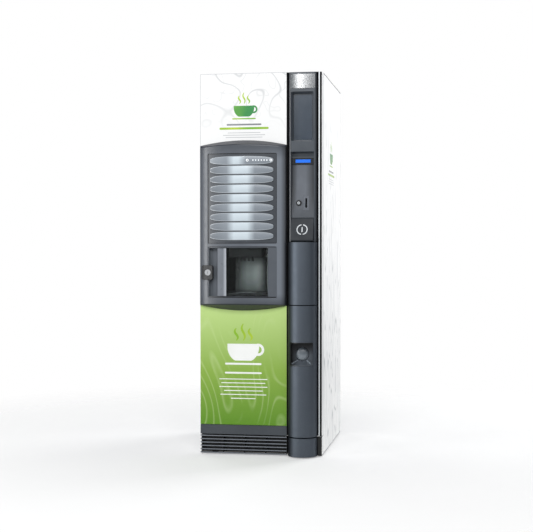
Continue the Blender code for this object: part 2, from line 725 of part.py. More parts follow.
def make_hinges():
    """Two bolted brackets on the hinge-side flange, each with the pin that the door turns on."""
    leg_left = OUT - HINGE_ARM
    leg_right = OUT - 0.016
    leg_front = DOOR_BACK + 0.0008
    leg_back = CABINET_FRONT - CLEAR
    low = PLINTH_TOP + CLEAR
    high = HEIGHT - 0.0005 - HINGE_PLATE
    for name, z, pin_to, leg_to in (("hinge_bottom", low, DOOR_BOTTOM + 0.014, low + HINGE_LEG),
                                    ("hinge_top", high, DOOR_TOP - 0.016, high - HINGE_LEG)):
        tongue = [(leg_left, leg_back), (leg_left, DOOR_BACK - 0.004)]
        tongue += arc((HINGE_X, HINGE_Y), 0.0055, -120, 30, 6)
        tongue += [(leg_right, leg_front), (leg_right, leg_back)]
        bracket = show(name, plate(tongue, z, z + HINGE_PLATE), ZINC_STEEL)
        join(bracket, rod(HINGE_PIN_RADIUS, (HINGE_X, HINGE_Y), min(z + 0.001, pin_to), max(z + 0.001, pin_to),
                          segments=16))
        join(bracket, block(leg_left, leg_right, leg_front, leg_back,
                            min(z + 0.001, leg_to), max(z + 0.001, leg_to)))


# ---------------------------------------------------------------- main door
def coin_port(near, far):
    """The opening behind the payment panel, which the coin entry reaches through."""
    return block(COIN_PORT_LEFT, COIN_PORT_RIGHT, near, far, COIN_PORT_LOW, COIN_PORT_HIGH)


def make_door_frame(hinge):
    """Steel tray: side, top and bottom returns and an inner sheet with its openings."""
    frame = show("door_frame", block(-OUT, OUT, FRONT + PANEL, DOOR_BACK, DOOR_BOTTOM, DOOR_TOP),
                 WHITE_PAINT, (HINGE_X, HINGE_Y, 0.0), hinge)
    side = OUT - SHEET
    low = DOOR_BOTTOM + SHEET
    high = DOOR_TOP - SHEET
    cut(frame, block(-side, side, FRONT - 0.01, WEB_FRONT, low, high))
    cut(frame, block(-side, side, WEB_BACK, DOOR_BACK + 0.01, low, high))
    through = (WEB_FRONT - 0.01, WEB_BACK + 0.01)
    cut(frame, block(NICHE_LEFT - 0.001, NICHE_RIGHT + 0.001, *through, NICHE_LOW - 0.001, NICHE_HIGH + 0.001))
    cut(frame, coin_port(*through))
    cut(frame, rod(LOCK_RADIUS + 0.001, (LOCK_X, LOCK_Z), *through, "Y", 20))
    hole = HINGE_PIN_RADIUS + PIN_CLEAR
    cut(frame, rod(hole, (HINGE_X, HINGE_Y), DOOR_BOTTOM - 0.01, low + 0.005, segments=16))
    cut(frame, rod(hole, (HINGE_X, HINGE_Y), high - 0.005, DOOR_TOP + 0.01, segments=16))


def make_front_panels(hinge):
    """White upper panel, green lower panel and the dark band under it."""
    left = -OUT
    upper = [(left, DOOR_TOP)]
    upper += [(x, arch_top(x) + CLEAR) for x in span(left, SPLIT, 16)]
    upper += [(SPLIT, DOOR_TOP)]
    lower = [(left, BAND_TOP + SEAM), (SPLIT, BAND_TOP + SEAM)]
    lower += [(x, arch_bottom(x) - CLEAR) for x in span(SPLIT, left, 16)]
    for name, outline, material in (("upper_panel", upper, WHITE_PAINT), ("lower_panel", lower, GREEN_PRINT)):
        panel = show(name, plate(outline, FRONT, FRONT + PANEL - CLEAR, "Y"), material, parent=hinge)
        z_low = min(z for x, z in outline) + 0.012
        z_high = max(z for x, z in outline) - 0.012
        if name == "upper_panel":
            z_low = arch_top(left) + FASCIA_TOP_ARCH + 0.006
        else:
            z_high = arch_bottom(left) - FASCIA_BOTTOM_ARCH - 0.006
        ring = rounded(left + 0.006, SPLIT - 0.006, z_low, z_high, 0.004, 1)
        hollow = rounded(left + 0.0075, SPLIT - 0.0075, z_low + 0.0015, z_high - 0.0015, 0.0035, 1)
        rim = frame_ring(ring, hollow, FRONT + PANEL / 2, FRONT + 0.014)
        join(panel, rim)
    seat = DOOR_BOTTOM + SHEET + CLEAR
    band = [(FRONT, DOOR_BOTTOM), (FRONT + PANEL - CLEAR, DOOR_BOTTOM), (FRONT + PANEL - CLEAR, seat),
            (FRONT + 0.012, seat),
            (FRONT + 0.012, DOOR_BOTTOM + SHEET + 0.0035), (FRONT + 0.0045, DOOR_BOTTOM + 0.006),
            (FRONT + 0.0045, BAND_TOP - 0.003), (FRONT + 0.010, BAND_TOP - 0.003), (FRONT + 0.010, BAND_TOP),
            (FRONT, BAND_TOP)]
    strip = show("base_band", plate(band, -OUT + SHEET + CLEAR, SPLIT, "X"), GREY_MOULDING, parent=hinge)
    join(strip, block(-OUT, -OUT + SHEET + 0.002, FRONT, FRONT + PANEL - CLEAR, DOOR_BOTTOM, BAND_TOP))


def frame_ring(outer, inner, low, high):
    """A low wall between two outlines of the same point count, in the door's plane."""
    work = bmesh.new()
    loops = []
    for outline, y in ((outer, low), (outer, high), (inner, high), (inner, low)):
        loops.append([work.verts.new((x, y, z)) for x, z in outline])
    count = len(outer)
    for first, second in zip(loops, loops[1:] + loops[:1]):
        for index in range(count):
            following = (index + 1) % count
            work.faces.new((first[index], first[following], second[following], second[index]))
    return mesh_from(work)


def make_fascia(hinge):
    """Bowed cover with an arched crescent above and below its face and two openings."""
    back = FRONT + PANEL - CLEAR
    shell = loft([fascia_section(x, back) for x in fascia_stations(0.0)])
    fascia = show("fascia", smooth(shell, 30), GREY_MOULDING, parent=hinge)
    end = FRONT - reach(-OUT) + MOULD / 2
    low = FASCIA_BOTTOM + MOULD / 2
    high = FASCIA_TOP - MOULD / 2
    join(fascia, merged([block(-OUT + 0.0001, -OUT + MOULD, end, back - 0.0001, low, high),
                         block(SPLIT - MOULD, SPLIT - 0.0001, end, back - 0.0001, low, high)]))
    near, far = FRONT - 0.08, back + 0.01
    keys = rounded(FASCIA_MID - FIELD_HALF, FASCIA_MID + FIELD_HALF, KEYS_LOW, KEYS_HIGH, 0.006, 2)
    bay = rounded(FASCIA_MID - FIELD_HALF, FASCIA_MID + FIELD_HALF, BAY_LOW, BAY_HIGH, 0.008, 2)
    cut(fascia, plate(keys, near, far, "Y"), plate(bay, near, far, "Y"))
    cut(fascia, plate(lock_outline(PIN_CLEAR), near, FRONT - 0.001, "Y"))
    cut(fascia, rod(LOCK_RADIUS + 0.001, (LOCK_X, LOCK_Z), near, far, "Y", 24))


def lens_stations():
    """Places along the lens from -1 to 1, closer together on its ends, with the half height at each."""
    stations = []
    for step in range(-KEY_STEPS, KEY_STEPS + 1):
        share = math.sin(math.pi / 2 * step / KEY_STEPS)
        rise = (1.0 - abs(share) ** 3) ** (1 / 3) if abs(step) < KEY_STEPS else 0.0
        stations.append((share, max(rise, KEY_END_SHARE)))
    return stations


def key_outline(grow, z_mid):
    """Lens shape of a key: two shallow arcs with full, blunt ends."""
    points = []
    for share, rise in lens_stations():
        points.append((KEY_MID + (KEY_HALF_LENGTH + grow) * share, z_mid + KEY_HEIGHT / 2 * rise + grow))
    return points + [(x, 2 * z_mid - z) for x, z in reversed(points)]


def lens_key(z_mid, front_inset, depth):
    """A lens-shaped bar whose face follows the bow and swells in the middle."""
    sections = []
    for share, half in lens_stations():
        x = KEY_MID + KEY_HALF_LENGTH * share
        rise = KEY_HEIGHT / 2 * half
        face = face_y(x, front_inset)
        swell = KEY_CROWN * half
        ring = []
        for lift, out in ((-1.0, 0.0), (-0.72, 0.62), (0.0, 1.0), (0.72, 0.62), (1.0, 0.0)):
            ring.append((x, face - swell * out, z_mid + rise * lift))
        ring.append((x, face + depth, z_mid + rise))
        ring.append((x, face + depth, z_mid - rise))
        sections.append(ring)
    return smooth(loft(sections), 32)


def make_keys(hinge):
    """Key panel, its fixed top display bar with two small keys, and eight selection keys."""
    left = FASCIA_MID - FIELD_HALF + CLEAR * 2
    right = FASCIA_MID + FIELD_HALF - CLEAR * 2
    panel = show("key_panel", bowed_strip(left, right, KEYS_LOW + CLEAR * 2, KEYS_HIGH - CLEAR * 2,
                                          FIELD_INSET, thickness=MOULD), GREY_MOULDING, parent=hinge)
    holes = []
    for index in range(KEY_COUNT):
        z = KEY_TOP_Z - index * KEY_PITCH
        holes.append(plate(key_outline(CLEAR * 2, z), FRONT - 0.08, FRONT, "Y"))
    cut(panel, merged(holes))

    face = FIELD_INSET - KEY_STANDS
    depth = MOULD + KEY_STANDS + 0.004
    bar = show("sugar_display", lens_key(KEY_TOP_Z, face, depth), KEY_PLASTIC, parent=hinge)
    for name, x in (("sugar_minus_key", SUGAR_MINUS_X), ("sugar_plus_key", SUGAR_PLUS_X)):
        front = face_y(x, face) - 0.0034
        cut(bar, rod(SUGAR_KEY_RADIUS + 0.0005, (x, KEY_TOP_Z), front - 0.01, FRONT, "Y", 20))
        show(name, rod(SUGAR_KEY_RADIUS, (x, KEY_TOP_Z), front, front + 0.013, "Y", 20), KEY_WHITE,
             (x, front, KEY_TOP_Z), hinge)
    for index in range(1, KEY_COUNT):
        z = KEY_TOP_Z - index * KEY_PITCH
        show("selection_key_%d" % index, lens_key(z, face, depth), KEY_PLASTIC, (KEY_MID, face_y(KEY_MID, face), z),
             hinge)


# ---------------------------------------------------------------- cup compartment
CUP_HINGE_X = DOORWAY_RIGHT - 0.0012 - CUP_HINGE_RADIUS
CUP_HINGE_Y = face_y(CUP_HINGE_X, CUP_DOOR_SETBACK + CUP_DOOR_THICK / 2 + 0.0015)
CUP_DOOR_LOW = BAY_LOW + BAY_WALL + 0.002
CUP_DOOR_HIGH = BAY_HIGH - BAY_WALL - 0.002
GRIP_RIGHT = DOORWAY_LEFT + GRIP_WIDTH


def make_bay(hinge):
    """Compartment surround: finger recess on the left, doorway, bowed face on the right."""
    left = FASCIA_MID - FIELD_HALF + CLEAR * 2
    right = FASCIA_MID + FIELD_HALF - CLEAR * 2
    surround = show("compartment_surround",
                    bowed_strip(left, right, BAY_LOW + CLEAR * 2, BAY_HIGH - CLEAR * 2, BAY_INSET,
                                back=BAY_BACK), DARK_MOULDING, parent=hinge)
    near, far = FRONT - 0.08, BAY_BACK + 0.01
    low, high = BAY_LOW + BAY_WALL, BAY_HIGH - BAY_WALL
    cut(surround, block(DOORWAY_LEFT, DOORWAY_RIGHT, near, far, low, high))
    finger_left = left + 0.005
    pocket = [(finger_left, near), (DOORWAY_LEFT + 0.01, near), (DOORWAY_LEFT + 0.01, FRONT - 0.006)]
    pocket += arc((finger_left + 0.012, FRONT - 0.018), 0.012, 90, 180, 4)
    cut(surround, plate(list(reversed(pocket)), low, high))
    for z0, z1 in ((low - 0.004, low + 0.004), (high - 0.004, high + 0.004)):
        cut(surround, rod(CUP_PIVOT_RADIUS + PIN_CLEAR, (CUP_HINGE_X, CUP_HINGE_Y), z0, z1, segments=12))
    cut(surround, plate(lock_outline(PIN_CLEAR), near, LOCK_BACK + PIN_CLEAR, "Y"))
    cut(surround, rod(LOCK_RADIUS + 0.0015, (LOCK_X, LOCK_Z), near, far, "Y", 24))


def make_cup_door(hinge):
    """Smoked door bowed like the fascia, with a hinge barrel on its right and a grip on its left."""
    swing = pivot("cup_door_hinge", (CUP_HINGE_X, CUP_HINGE_Y, CUP_DOOR_LOW), hinge)
    xs = span(GRIP_RIGHT + CLEAR, CUP_HINGE_X, 10)
    front = [(x, face_y(x, CUP_DOOR_SETBACK)) for x in xs]
    rear = [(x, face_y(x, CUP_DOOR_SETBACK + CUP_DOOR_THICK)) for x in reversed(xs)]
    origin = (CUP_HINGE_X, CUP_HINGE_Y, CUP_DOOR_LOW)
    window = show("cup_door", plate(front + rear, CUP_DOOR_LOW, CUP_DOOR_HIGH), SMOKED_CLEAR, origin, swing)
    join(window, rod(CUP_HINGE_RADIUS, (CUP_HINGE_X, CUP_HINGE_Y), CUP_DOOR_LOW + 0.0002,
                     CUP_DOOR_HIGH - 0.0002, segments=16))
    for z0, z1 in ((CUP_DOOR_LOW - 0.0045, CUP_DOOR_LOW + 0.003),
                   (CUP_DOOR_HIGH - 0.003, CUP_DOOR_HIGH + 0.0045)):
        join(window, rod(CUP_PIVOT_RADIUS, (CUP_HINGE_X, CUP_HINGE_Y), z0, z1, segments=12))

    left = DOORWAY_LEFT + 0.0015
    xs = span(left + 0.004, GRIP_RIGHT, 6)
    outline = [(x, face_y(x, CUP_DOOR_SETBACK - 0.003)) for x in xs]
    rear_y = face_y(GRIP_RIGHT, CUP_DOOR_SETBACK + 0.009)
    outline += [(GRIP_RIGHT, rear_y), (left + 0.020, rear_y), (left + 0.014, rear_y - 0.0035),
                (left + 0.006, rear_y + 0.0015), (left + 0.001, rear_y), (left, face_y(left, 0.006))]
    show("cup_door_grip", plate(outline, CUP_DOOR_LOW, CUP_DOOR_HIGH), GREY_MOULDING, origin, swing)


def niche_outline(wall, front, steps=14):
    """D shape in plan: straight mouth in front, round back."""
    half = NICHE_HALF - wall
    spring = FRONT + 0.055
    deep = FRONT + NICHE_DEPTH - wall - spring
    points = [(NICHE_MID - half, front)]
    for step in range(steps + 1):
        angle = math.pi * step / steps
        points.append((NICHE_MID - half * math.cos(angle), spring + deep * math.sin(angle) ** 0.8))
    points.append((NICHE_MID + half, front))
    return points


def make_niche(hinge):
    """Round-backed cup space, with the drip tray and grille on its floor and spouts overhead."""
    front = BAY_BACK + CLEAR
    niche = show("cup_niche", plate(niche_outline(0.0, front), NICHE_LOW, NICHE_HIGH), DARK_MOULDING, parent=hinge)
    cut(niche, plate(niche_outline(NICHE_WALL, front - 0.01), TRAY_FLOOR - CLEAR, NICHE_HIGH - 0.003))

    tray = show("drip_tray", plate(niche_outline(NICHE_WALL + 0.0012, FRONT - 0.012), TRAY_FLOOR,
                                   TRAY_FLOOR + TRAY_HEIGHT), BLACK_PLASTIC, parent=hinge)
    cut(tray, plate(niche_outline(NICHE_WALL + 0.0035, FRONT - 0.0095), TRAY_FLOOR + 0.002,
                    TRAY_FLOOR + TRAY_HEIGHT + 0.01))
    grille_z = TRAY_FLOOR + TRAY_HEIGHT - 0.0045
    grille = show("drip_grille", plate(niche_outline(NICHE_WALL + 0.0040, FRONT - 0.0088), grille_z,
                                       grille_z + 0.003), DARK_MOULDING, parent=hinge)
    slots = []
    for row in range(GRILLE_SLOTS):
        y = FRONT + 0.006 + row * GRILLE_PITCH
        half = NICHE_HALF - 0.040 - 0.004 * max(0, row - 3) ** 1.6
        slots.append(block(NICHE_MID - half, NICHE_MID + half, y, y + 0.0075, grille_z - 0.01, grille_z + 0.01))
    cut(grille, merged(slots))
    legs = []
    for x in (NICHE_MID - NICHE_HALF + 0.025, NICHE_MID + NICHE_HALF - 0.033):
        legs.append(block(x, x + 0.008, FRONT + 0.02, FRONT + 0.05, TRAY_FLOOR + 0.002 + CLEAR, grille_z + 0.001))
    join(grille, merged(legs))

    spout_y = FRONT + 0.075
    half = NICHE_HALF - 0.032
    outline = rounded(NICHE_MID - half, NICHE_MID + half, spout_y - 0.040, spout_y + 0.030, 0.018)
    head = show("spout_block", plate(outline, SPOUT_LOW, NICHE_HIGH - 0.003 - CLEAR), BLACK_PLASTIC, parent=hinge)
    nozzles = []
    for shift in SPOUT_NOZZLES:
        nozzles.append(rod(0.0050, (NICHE_MID + shift, spout_y), SPOUT_LOW - 0.020, SPOUT_LOW + 0.002, segments=12,
                           radius_high=0.0075))
    join(head, merged(nozzles))


def lock_outline(grow):
    return rounded(LOCK_PLATE_MID - LOCK_PLATE_HALF_W - grow, LOCK_PLATE_MID + LOCK_PLATE_HALF_W + grow,
                   LOCK_Z - LOCK_PLATE_HALF_H - grow, LOCK_Z + LOCK_PLATE_HALF_H + grow, 0.010)


def make_lock(hinge):
    """Black housing set across the fascia's edge and a cylinder with its cam behind the door."""
    near = FRONT - 0.08
    width = LOCK_PLATE_HALF_W + 0.002
    body = bowed_strip(LOCK_PLATE_MID - width, LOCK_PLATE_MID + width, LOCK_Z - 0.05, LOCK_Z + 0.05, -0.0035,
                       back=LOCK_BACK)
    housing = show("lock_housing", body, BLACK_PLASTIC, parent=hinge)
    boolean(housing, plate(lock_outline(0.0), near, FRONT, "Y"), "INTERSECT")
    cut(housing, rod(LOCK_RADIUS + 0.0005, (LOCK_X, LOCK_Z), near, FRONT, "Y", 24))

    nose = face_y(LOCK_X, -0.0055)
    cam_y = CABINET_FRONT + SHEET + 0.002
    cylinder = show("lock_cylinder", rod(LOCK_RADIUS, (LOCK_X, LOCK_Z), nose, FRONT + 0.020, "Y", 24),
                    BRIGHT_STEEL, (LOCK_X, nose, LOCK_Z), hinge)
    join(cylinder, rod(0.007, (LOCK_X, LOCK_Z), FRONT + 0.018, cam_y + 0.002, "Y", 16))
    cam = rounded(LOCK_X - 0.007, LOCK_X + 0.007, LOCK_Z - 0.009, LOCK_Z + CAM_LENGTH, 0.0065)
    join(cylinder, plate(cam, cam_y, cam_y + 0.003, "Y"))
    cut(cylinder, block(LOCK_X - 0.0010, LOCK_X + 0.0010, nose - 0.01, nose + 0.004,
                        LOCK_Z - 0.0055, LOCK_Z + 0.0055))


# ---------------------------------------------------------------- right-hand column
def make_carrier(hinge):
    """Black channel that holds the column; its right lip is the machine's black front corner."""
    gap_left = SPLIT + 0.0006
    outline = [(gap_left, FRONT), (gap_left + 0.003, FRONT), (gap_left + 0.003, CARRIER_FACE),
               (TRIM_LEFT - CLEAR, CARRIER_FACE), (TRIM_LEFT - CLEAR, FRONT + 0.003),
               (TRIM_RIGHT + CLEAR, FRONT + 0.003), (TRIM_RIGHT + CLEAR, FRONT), (OUT, FRONT),
               (OUT, FRONT + PANEL - CLEAR), (INSIDE, FRONT + PANEL - CLEAR), (INSIDE, CARRIER_BACK),
               (gap_left, CARRIER_BACK)]
    low = DOOR_BOTTOM + SHEET + CLEAR
    carrier = show("column_carrier", plate(outline, low, HEAD_TOP), BLACK_PLASTIC, parent=hinge)
    cut(carrier, coin_port(CARRIER_FACE - 0.003, CARRIER_BACK + 0.003))
    trim_outline = [(TRIM_LEFT, FRONT + 0.003 - CLEAR), (TRIM_LEFT, FRONT - 0.0004),
                    (TRIM_LEFT + 0.0016, FRONT - 0.0015), (TRIM_RIGHT - 0.0016, FRONT - 0.0015),
                    (TRIM_RIGHT, FRONT - 0.0004), (TRIM_RIGHT, FRONT + 0.003 - CLEAR)]
    show("trim_strip", plate(trim_outline, low, HEAD_TOP), TRIM_ALUMINIUM, parent=hinge)


def column_field(low, high, half, near, far, radius):
    return plate(rounded(COLUMN_MID - half, COLUMN_MID + half, low, high, radius, 3), near, far, "Y")


def make_head(hinge):
    """Flat upper cover: seat for the bright plate, window with sloped reveals, payment recess under a brow."""
    outline = [(COLUMN_LEFT, HEAD_BACK)]
    outline += arc((COLUMN_LEFT + HEAD_CORNER, HEAD_FRONT + HEAD_CORNER), HEAD_CORNER, 180, 270, 5)
    outline += arc((COLUMN_RIGHT - HEAD_CORNER, HEAD_FRONT + HEAD_CORNER), HEAD_CORNER, 270, 360, 5)
    outline += [(COLUMN_RIGHT, HEAD_BACK)]
    head = show("column_head", smooth(plate(outline, HEAD_BOTTOM, HEAD_TOP)), GREY_MOULDING, parent=hinge)
    window = []
    for y, shrink in ((HEAD_FRONT - 0.004, -0.0018), (WINDOW_BACK, 0.0090)):
        ring = rounded(COLUMN_MID - WINDOW_HALF + shrink, COLUMN_MID + WINDOW_HALF - shrink,
                       WINDOW_LOW + shrink, WINDOW_HIGH - shrink, 0.006, 3)
        window.append([(x, y, z) for x, z in ring])
    cut(head, loft(window))
    half = WINDOW_HALF - WINDOW_LEDGE
    cut(head, block(COLUMN_MID - half, COLUMN_MID + half, WINDOW_BACK, HEAD_BACK + 0.01,
                    WINDOW_LOW + WINDOW_LEDGE, WINDOW_HIGH - WINDOW_LEDGE))
    near = HEAD_FRONT - 0.02
    deep = FRONT + RECESS_DEPTH
    side = [(near, HEAD_BOTTOM - 0.01), (near, RECESS_TOP), (HEAD_FRONT, RECESS_TOP)]
    for step in range(1, 6):
        angle = math.pi / 2 * step / 5
        side.append((HEAD_FRONT + (deep - HEAD_FRONT) * math.sin(angle),
                     RECESS_TOP - BROW_FALL * (1 - math.cos(angle))))
    side += [(deep, HEAD_BOTTOM - 0.01)]
    cut(head, plate(side, COLUMN_MID - RECESS_HALF, COLUMN_MID + RECESS_HALF, "X"))
    cut(head, coin_port(deep - 0.003, HEAD_BACK + 0.003))

    half -= CLEAR * 2
    ledge = WINDOW_LEDGE + CLEAR * 2
    show("window_panel", block(COLUMN_MID - half, COLUMN_MID + half, WINDOW_BACK + CLEAR, HEAD_BACK - CLEAR,
                               WINDOW_LOW + ledge, WINDOW_HIGH - ledge), WINDOW_GREY, parent=hinge)
    bend = []
    for x in span(BADGE_MID - BADGE_HALF, BADGE_MID + BADGE_HALF, 10):
        across = (x - BADGE_MID) / BADGE_HALF
        bend.append((x, HEAD_FRONT - 0.0012 - 0.0030 * (1 - across * across)))
    bend += [(BADGE_MID + BADGE_HALF, HEAD_FRONT - CLEAR), (BADGE_MID - BADGE_HALF, HEAD_FRONT - CLEAR)]
    show("bright_plate", smooth(plate(bend, BADGE_LOW, BADGE_HIGH), 20), BRIGHT_STEEL, parent=hinge)


def payment_strip(left, right, low, high, steps, back):
    """A piece between two heights whose front follows the payment panel's backward lean."""
    profile = []
    for z in span(low, high, steps):
        share = (z - PAYMENT_LOW) / (DISPLAY_LOW - PAYMENT_LOW)
        profile.append((FRONT + 0.0035 + PAYMENT_LEAN * math.sin(share * math.pi / 2), z))
    return plate(profile + [(back, high), (back, low)], left, right, "X")


def slot_outline(grow):
    """The coin slot's rounded outline, grown evenly."""
    return rounded(SLOT_X - SLOT_HALF - grow, SLOT_X + SLOT_HALF + grow, SLOT_LOW - grow, SLOT_HIGH + grow,
                   SLOT_HALF - 0.0002 + grow, 2)


def make_coin_entry(hinge, seat):
    """Snap-in coin entry: a short chute with a flared slot and a collar behind the payment panel.

    Returns the shape of the hole that it fits in the panel.
    """
    left, right = SLOT_X - SLOT_HALF - ENTRY_MARGIN, SLOT_X + SLOT_HALF + ENTRY_MARGIN
    low, high = SLOT_LOW - ENTRY_MARGIN, SLOT_HIGH + ENTRY_MARGIN
    entry = show("coin_entry", smooth(payment_strip(left, right, low, high, 4, WEB_BACK - 0.001)), GREY_MOULDING,
                 parent=hinge)
    join(entry, block(left - 0.002, right + 0.002, seat, seat + 0.0025, low - 0.002, high + 0.002))
    near = FRONT - 0.01
    flare = [[(x, y, z) for x, z in slot_outline(grow)] for y, grow in ((near, 0.0080), (FRONT + 0.0125, 0.0))]
    cut(entry, plate(slot_outline(0.0), near, WEB_BACK + 0.01, "Y"), loft(flare))
    return block(left - CLEAR, right + CLEAR, near, seat, low - CLEAR, high + CLEAR)


def make_payment(hinge):
    """Display, curved payment panel with the return button and coin entry, and the sloping coin plate."""
    deep = FRONT + RECESS_DEPTH - CLEAR
    half = RECESS_HALF - CLEAR * 2
    left, right = COLUMN_MID - half, COLUMN_MID + half
    panel = show("payment_panel", smooth(payment_strip(left, right, PAYMENT_LOW, DISPLAY_LOW - CLEAR, 8, deep)),
                 GREY_MOULDING, parent=hinge)
    cut(panel, make_coin_entry(hinge, deep + CLEAR))
    button = (RETURN_BUTTON_X, RETURN_BUTTON_Z)
    cut(panel, rod(RETURN_BUTTON_RADIUS + 0.0005, button, FRONT - 0.01, deep + 0.01, "Y", 20))
    button_front = FRONT + 0.0035
    show("coin_return_button",
         rod(RETURN_BUTTON_RADIUS, button, button_front, deep - RETURN_BUTTON_TRAVEL - 0.001, "Y", 20),
         BLACK_PLASTIC, (RETURN_BUTTON_X, button_front, RETURN_BUTTON_Z), hinge)

    bezel_front = FRONT + 0.0140
    glass_back = bezel_front + 0.0025
    join(panel, block(left, right, bezel_front, deep, DISPLAY_LOW - 0.001, DISPLAY_HIGH))
    glass = (COLUMN_MID - GLASS_HALF, COLUMN_MID + GLASS_HALF)
    cut(panel, block(*glass, bezel_front - 0.004, glass_back, GLASS_LOW, GLASS_HIGH))
    show("display_glass", block(glass[0] + CLEAR, glass[1] - CLEAR, bezel_front + 0.0006, glass_back - CLEAR,
                                GLASS_LOW + CLEAR, GLASS_HIGH - CLEAR), DISPLAY_BLUE, parent=hinge)

    foot = HEAD_BOTTOM + 0.0015
    wedge = [(deep, foot), (FRONT - COIN_PLATE_PROUD + 0.004, foot), (FRONT - COIN_PLATE_PROUD, foot + 0.006),
             (FRONT - 0.001, COIN_PLATE_TOP - 0.005), (FRONT + 0.004, COIN_PLATE_TOP), (deep, COIN_PLATE_TOP)]
    show("coin_plate", plate(wedge, left, right, "X"), DARK_MOULDING, parent=hinge)


def make_half_round_covers(hinge):
    """Middle cover with a closed top, and the lower cover with the coin return opening."""
    back = HEAD_BACK
    seam = COLUMN_SEAM / 2
    top = HEAD_BOTTOM - 0.0025
    middle = show("column_middle", smooth(column_cover(COLUMN_BREAK + seam, top, back)), GREY_MOULDING,
                  parent=hinge)
    outline = column_outline(COLUMN_HALF - 0.0008, COLUMN_BULGE - 0.0008, back - 0.0005)
    lid = plate(outline, top - MOULD, top - 0.0005)
    join(middle, lid)
    low = DOOR_BOTTOM + SHEET + CLEAR
    lower = show("column_lower", smooth(column_cover(low, COLUMN_BREAK - seam, back)), GREY_MOULDING, parent=hinge)
    near, far = FRONT - COLUMN_BULGE - 0.01, back + 0.01
    cut(lower, column_field(CUP_RETURN_LOW, CUP_RETURN_HIGH, CUP_RETURN_HALF, near, far, CUP_RETURN_CORNER))
    make_coin_return(hinge)


def make_coin_return(hinge):
    """Scooped cup let into the column, and the round flap that is pushed in to reach the coins."""
    half = CUP_RETURN_HALF - CLEAR * 2
    low, high = CUP_RETURN_LOW + CLEAR * 2, CUP_RETURN_HIGH - CLEAR * 2
    bulge = COLUMN_BULGE - 0.0008
    outline = []
    for x in span(COLUMN_MID - half, COLUMN_MID + half, 12):
        across = (x - COLUMN_MID) / (COLUMN_HALF - 0.0008)
        outline.append((x, FRONT - bulge * math.sqrt(1 - across * across)))
    outline += [(COLUMN_MID + half, CUP_RETURN_BACK), (COLUMN_MID - half, CUP_RETURN_BACK)]
    cup = show("coin_return_cup", smooth(plate(outline, low, high)), DARK_MOULDING, parent=hinge)
    near = FRONT - COLUMN_BULGE - 0.01
    boolean(cup, column_field(low, high, half, near, CUP_RETURN_BACK + 0.01, CUP_RETURN_CORNER), "INTERSECT")
    inner = half - 0.003
    sections = []
    for x in span(COLUMN_MID - inner, COLUMN_MID + inner, 8):
        across = (x - COLUMN_MID) / inner
        ridge = CUP_RETURN_RIDGE * max(0.0, 1 - abs(across)) ** 1.5
        floor = low + 0.003
        sections.append([(x, near, floor - 0.001), (x, FRONT - 0.050, floor + ridge * 0.15),
                         (x, CUP_RETURN_WALL, floor + 0.012 + ridge), (x, CUP_RETURN_WALL, high - 0.003),
                         (x, near, high - 0.003)])
    cut(cup, loft(sections))
    cut(cup, rod(FLAP_RADIUS + 0.0012, (COLUMN_MID, FLAP_Z), FRONT - 0.03, CUP_RETURN_BACK + 0.01, "Y", 32))

    origin = (COLUMN_MID, CUP_RETURN_WALL + 0.002, FLAP_HINGE_Z)
    dome = turned([(0.0, 0.012), (FLAP_RADIUS * 0.35, 0.0112), (FLAP_RADIUS * 0.66, 0.0088),
                   (FLAP_RADIUS * 0.88, 0.005), (FLAP_RADIUS, 0.0), (FLAP_RADIUS, -0.0025), (0.0, -0.0025)],
                  (0.0, 0.0), 24)
    place = Matrix.Translation((COLUMN_MID, CUP_RETURN_WALL, FLAP_Z))
    dome.transform(place @ Matrix.Rotation(math.radians(90), 4, "X"))
    flap = show("coin_return_flap", dome, GREY_MOULDING, origin, hinge)
    join(flap, rod(FLAP_PIN_RADIUS, (origin[1], origin[2]), COLUMN_MID - FLAP_PIN_HALF,
                   COLUMN_MID + FLAP_PIN_HALF, "X", 12))
    join(flap, block(COLUMN_MID - 0.006, COLUMN_MID + 0.006, CUP_RETURN_WALL + 0.0005, CUP_RETURN_WALL + 0.0025,
                     FLAP_Z + FLAP_RADIUS - 0.004, FLAP_HINGE_Z))
    cut(cup, rod(FLAP_PIN_RADIUS + 0.0003, (origin[1], origin[2]), COLUMN_MID - FLAP_PIN_HALF - 0.0003,
                 COLUMN_MID + FLAP_PIN_HALF + 0.0003, "X", 12))


def make_coin_mechanism(hinge):
    """Coin validator and tubes on the back of the door, behind the payment panel."""
    y0 = WEB_BACK + CLEAR
    back = y0 + MECHANISM_DEPTH
    body = show("coin_mechanism", block(MECHANISM_LEFT, MECHANISM_RIGHT, y0, back, MECHANISM_LOW,
                                        MECHANISM_LOW + MECHANISM_HEIGHT), BLACK_PLASTIC, parent=hinge)
    tubes = []
    low = MECHANISM_LOW + 0.008
    for x in span(MECHANISM_LEFT + COIN_TUBE_RADIUS + 0.006, MECHANISM_RIGHT - COIN_TUBE_RADIUS - 0.002,
                  COIN_TUBE_COUNT - 1):
        tubes.append(rod(COIN_TUBE_RADIUS, (x, back), low, low + COIN_TUBE_HEIGHT, segments=16))
    join(body, merged(tubes))
    mouth = SLOT_HALF + ENTRY_MARGIN
    cut(body, block(SLOT_X - mouth, SLOT_X + mouth, y0 - 0.01, y0 + 0.030, SLOT_LOW - ENTRY_MARGIN,
                    SLOT_HIGH + ENTRY_MARGIN))


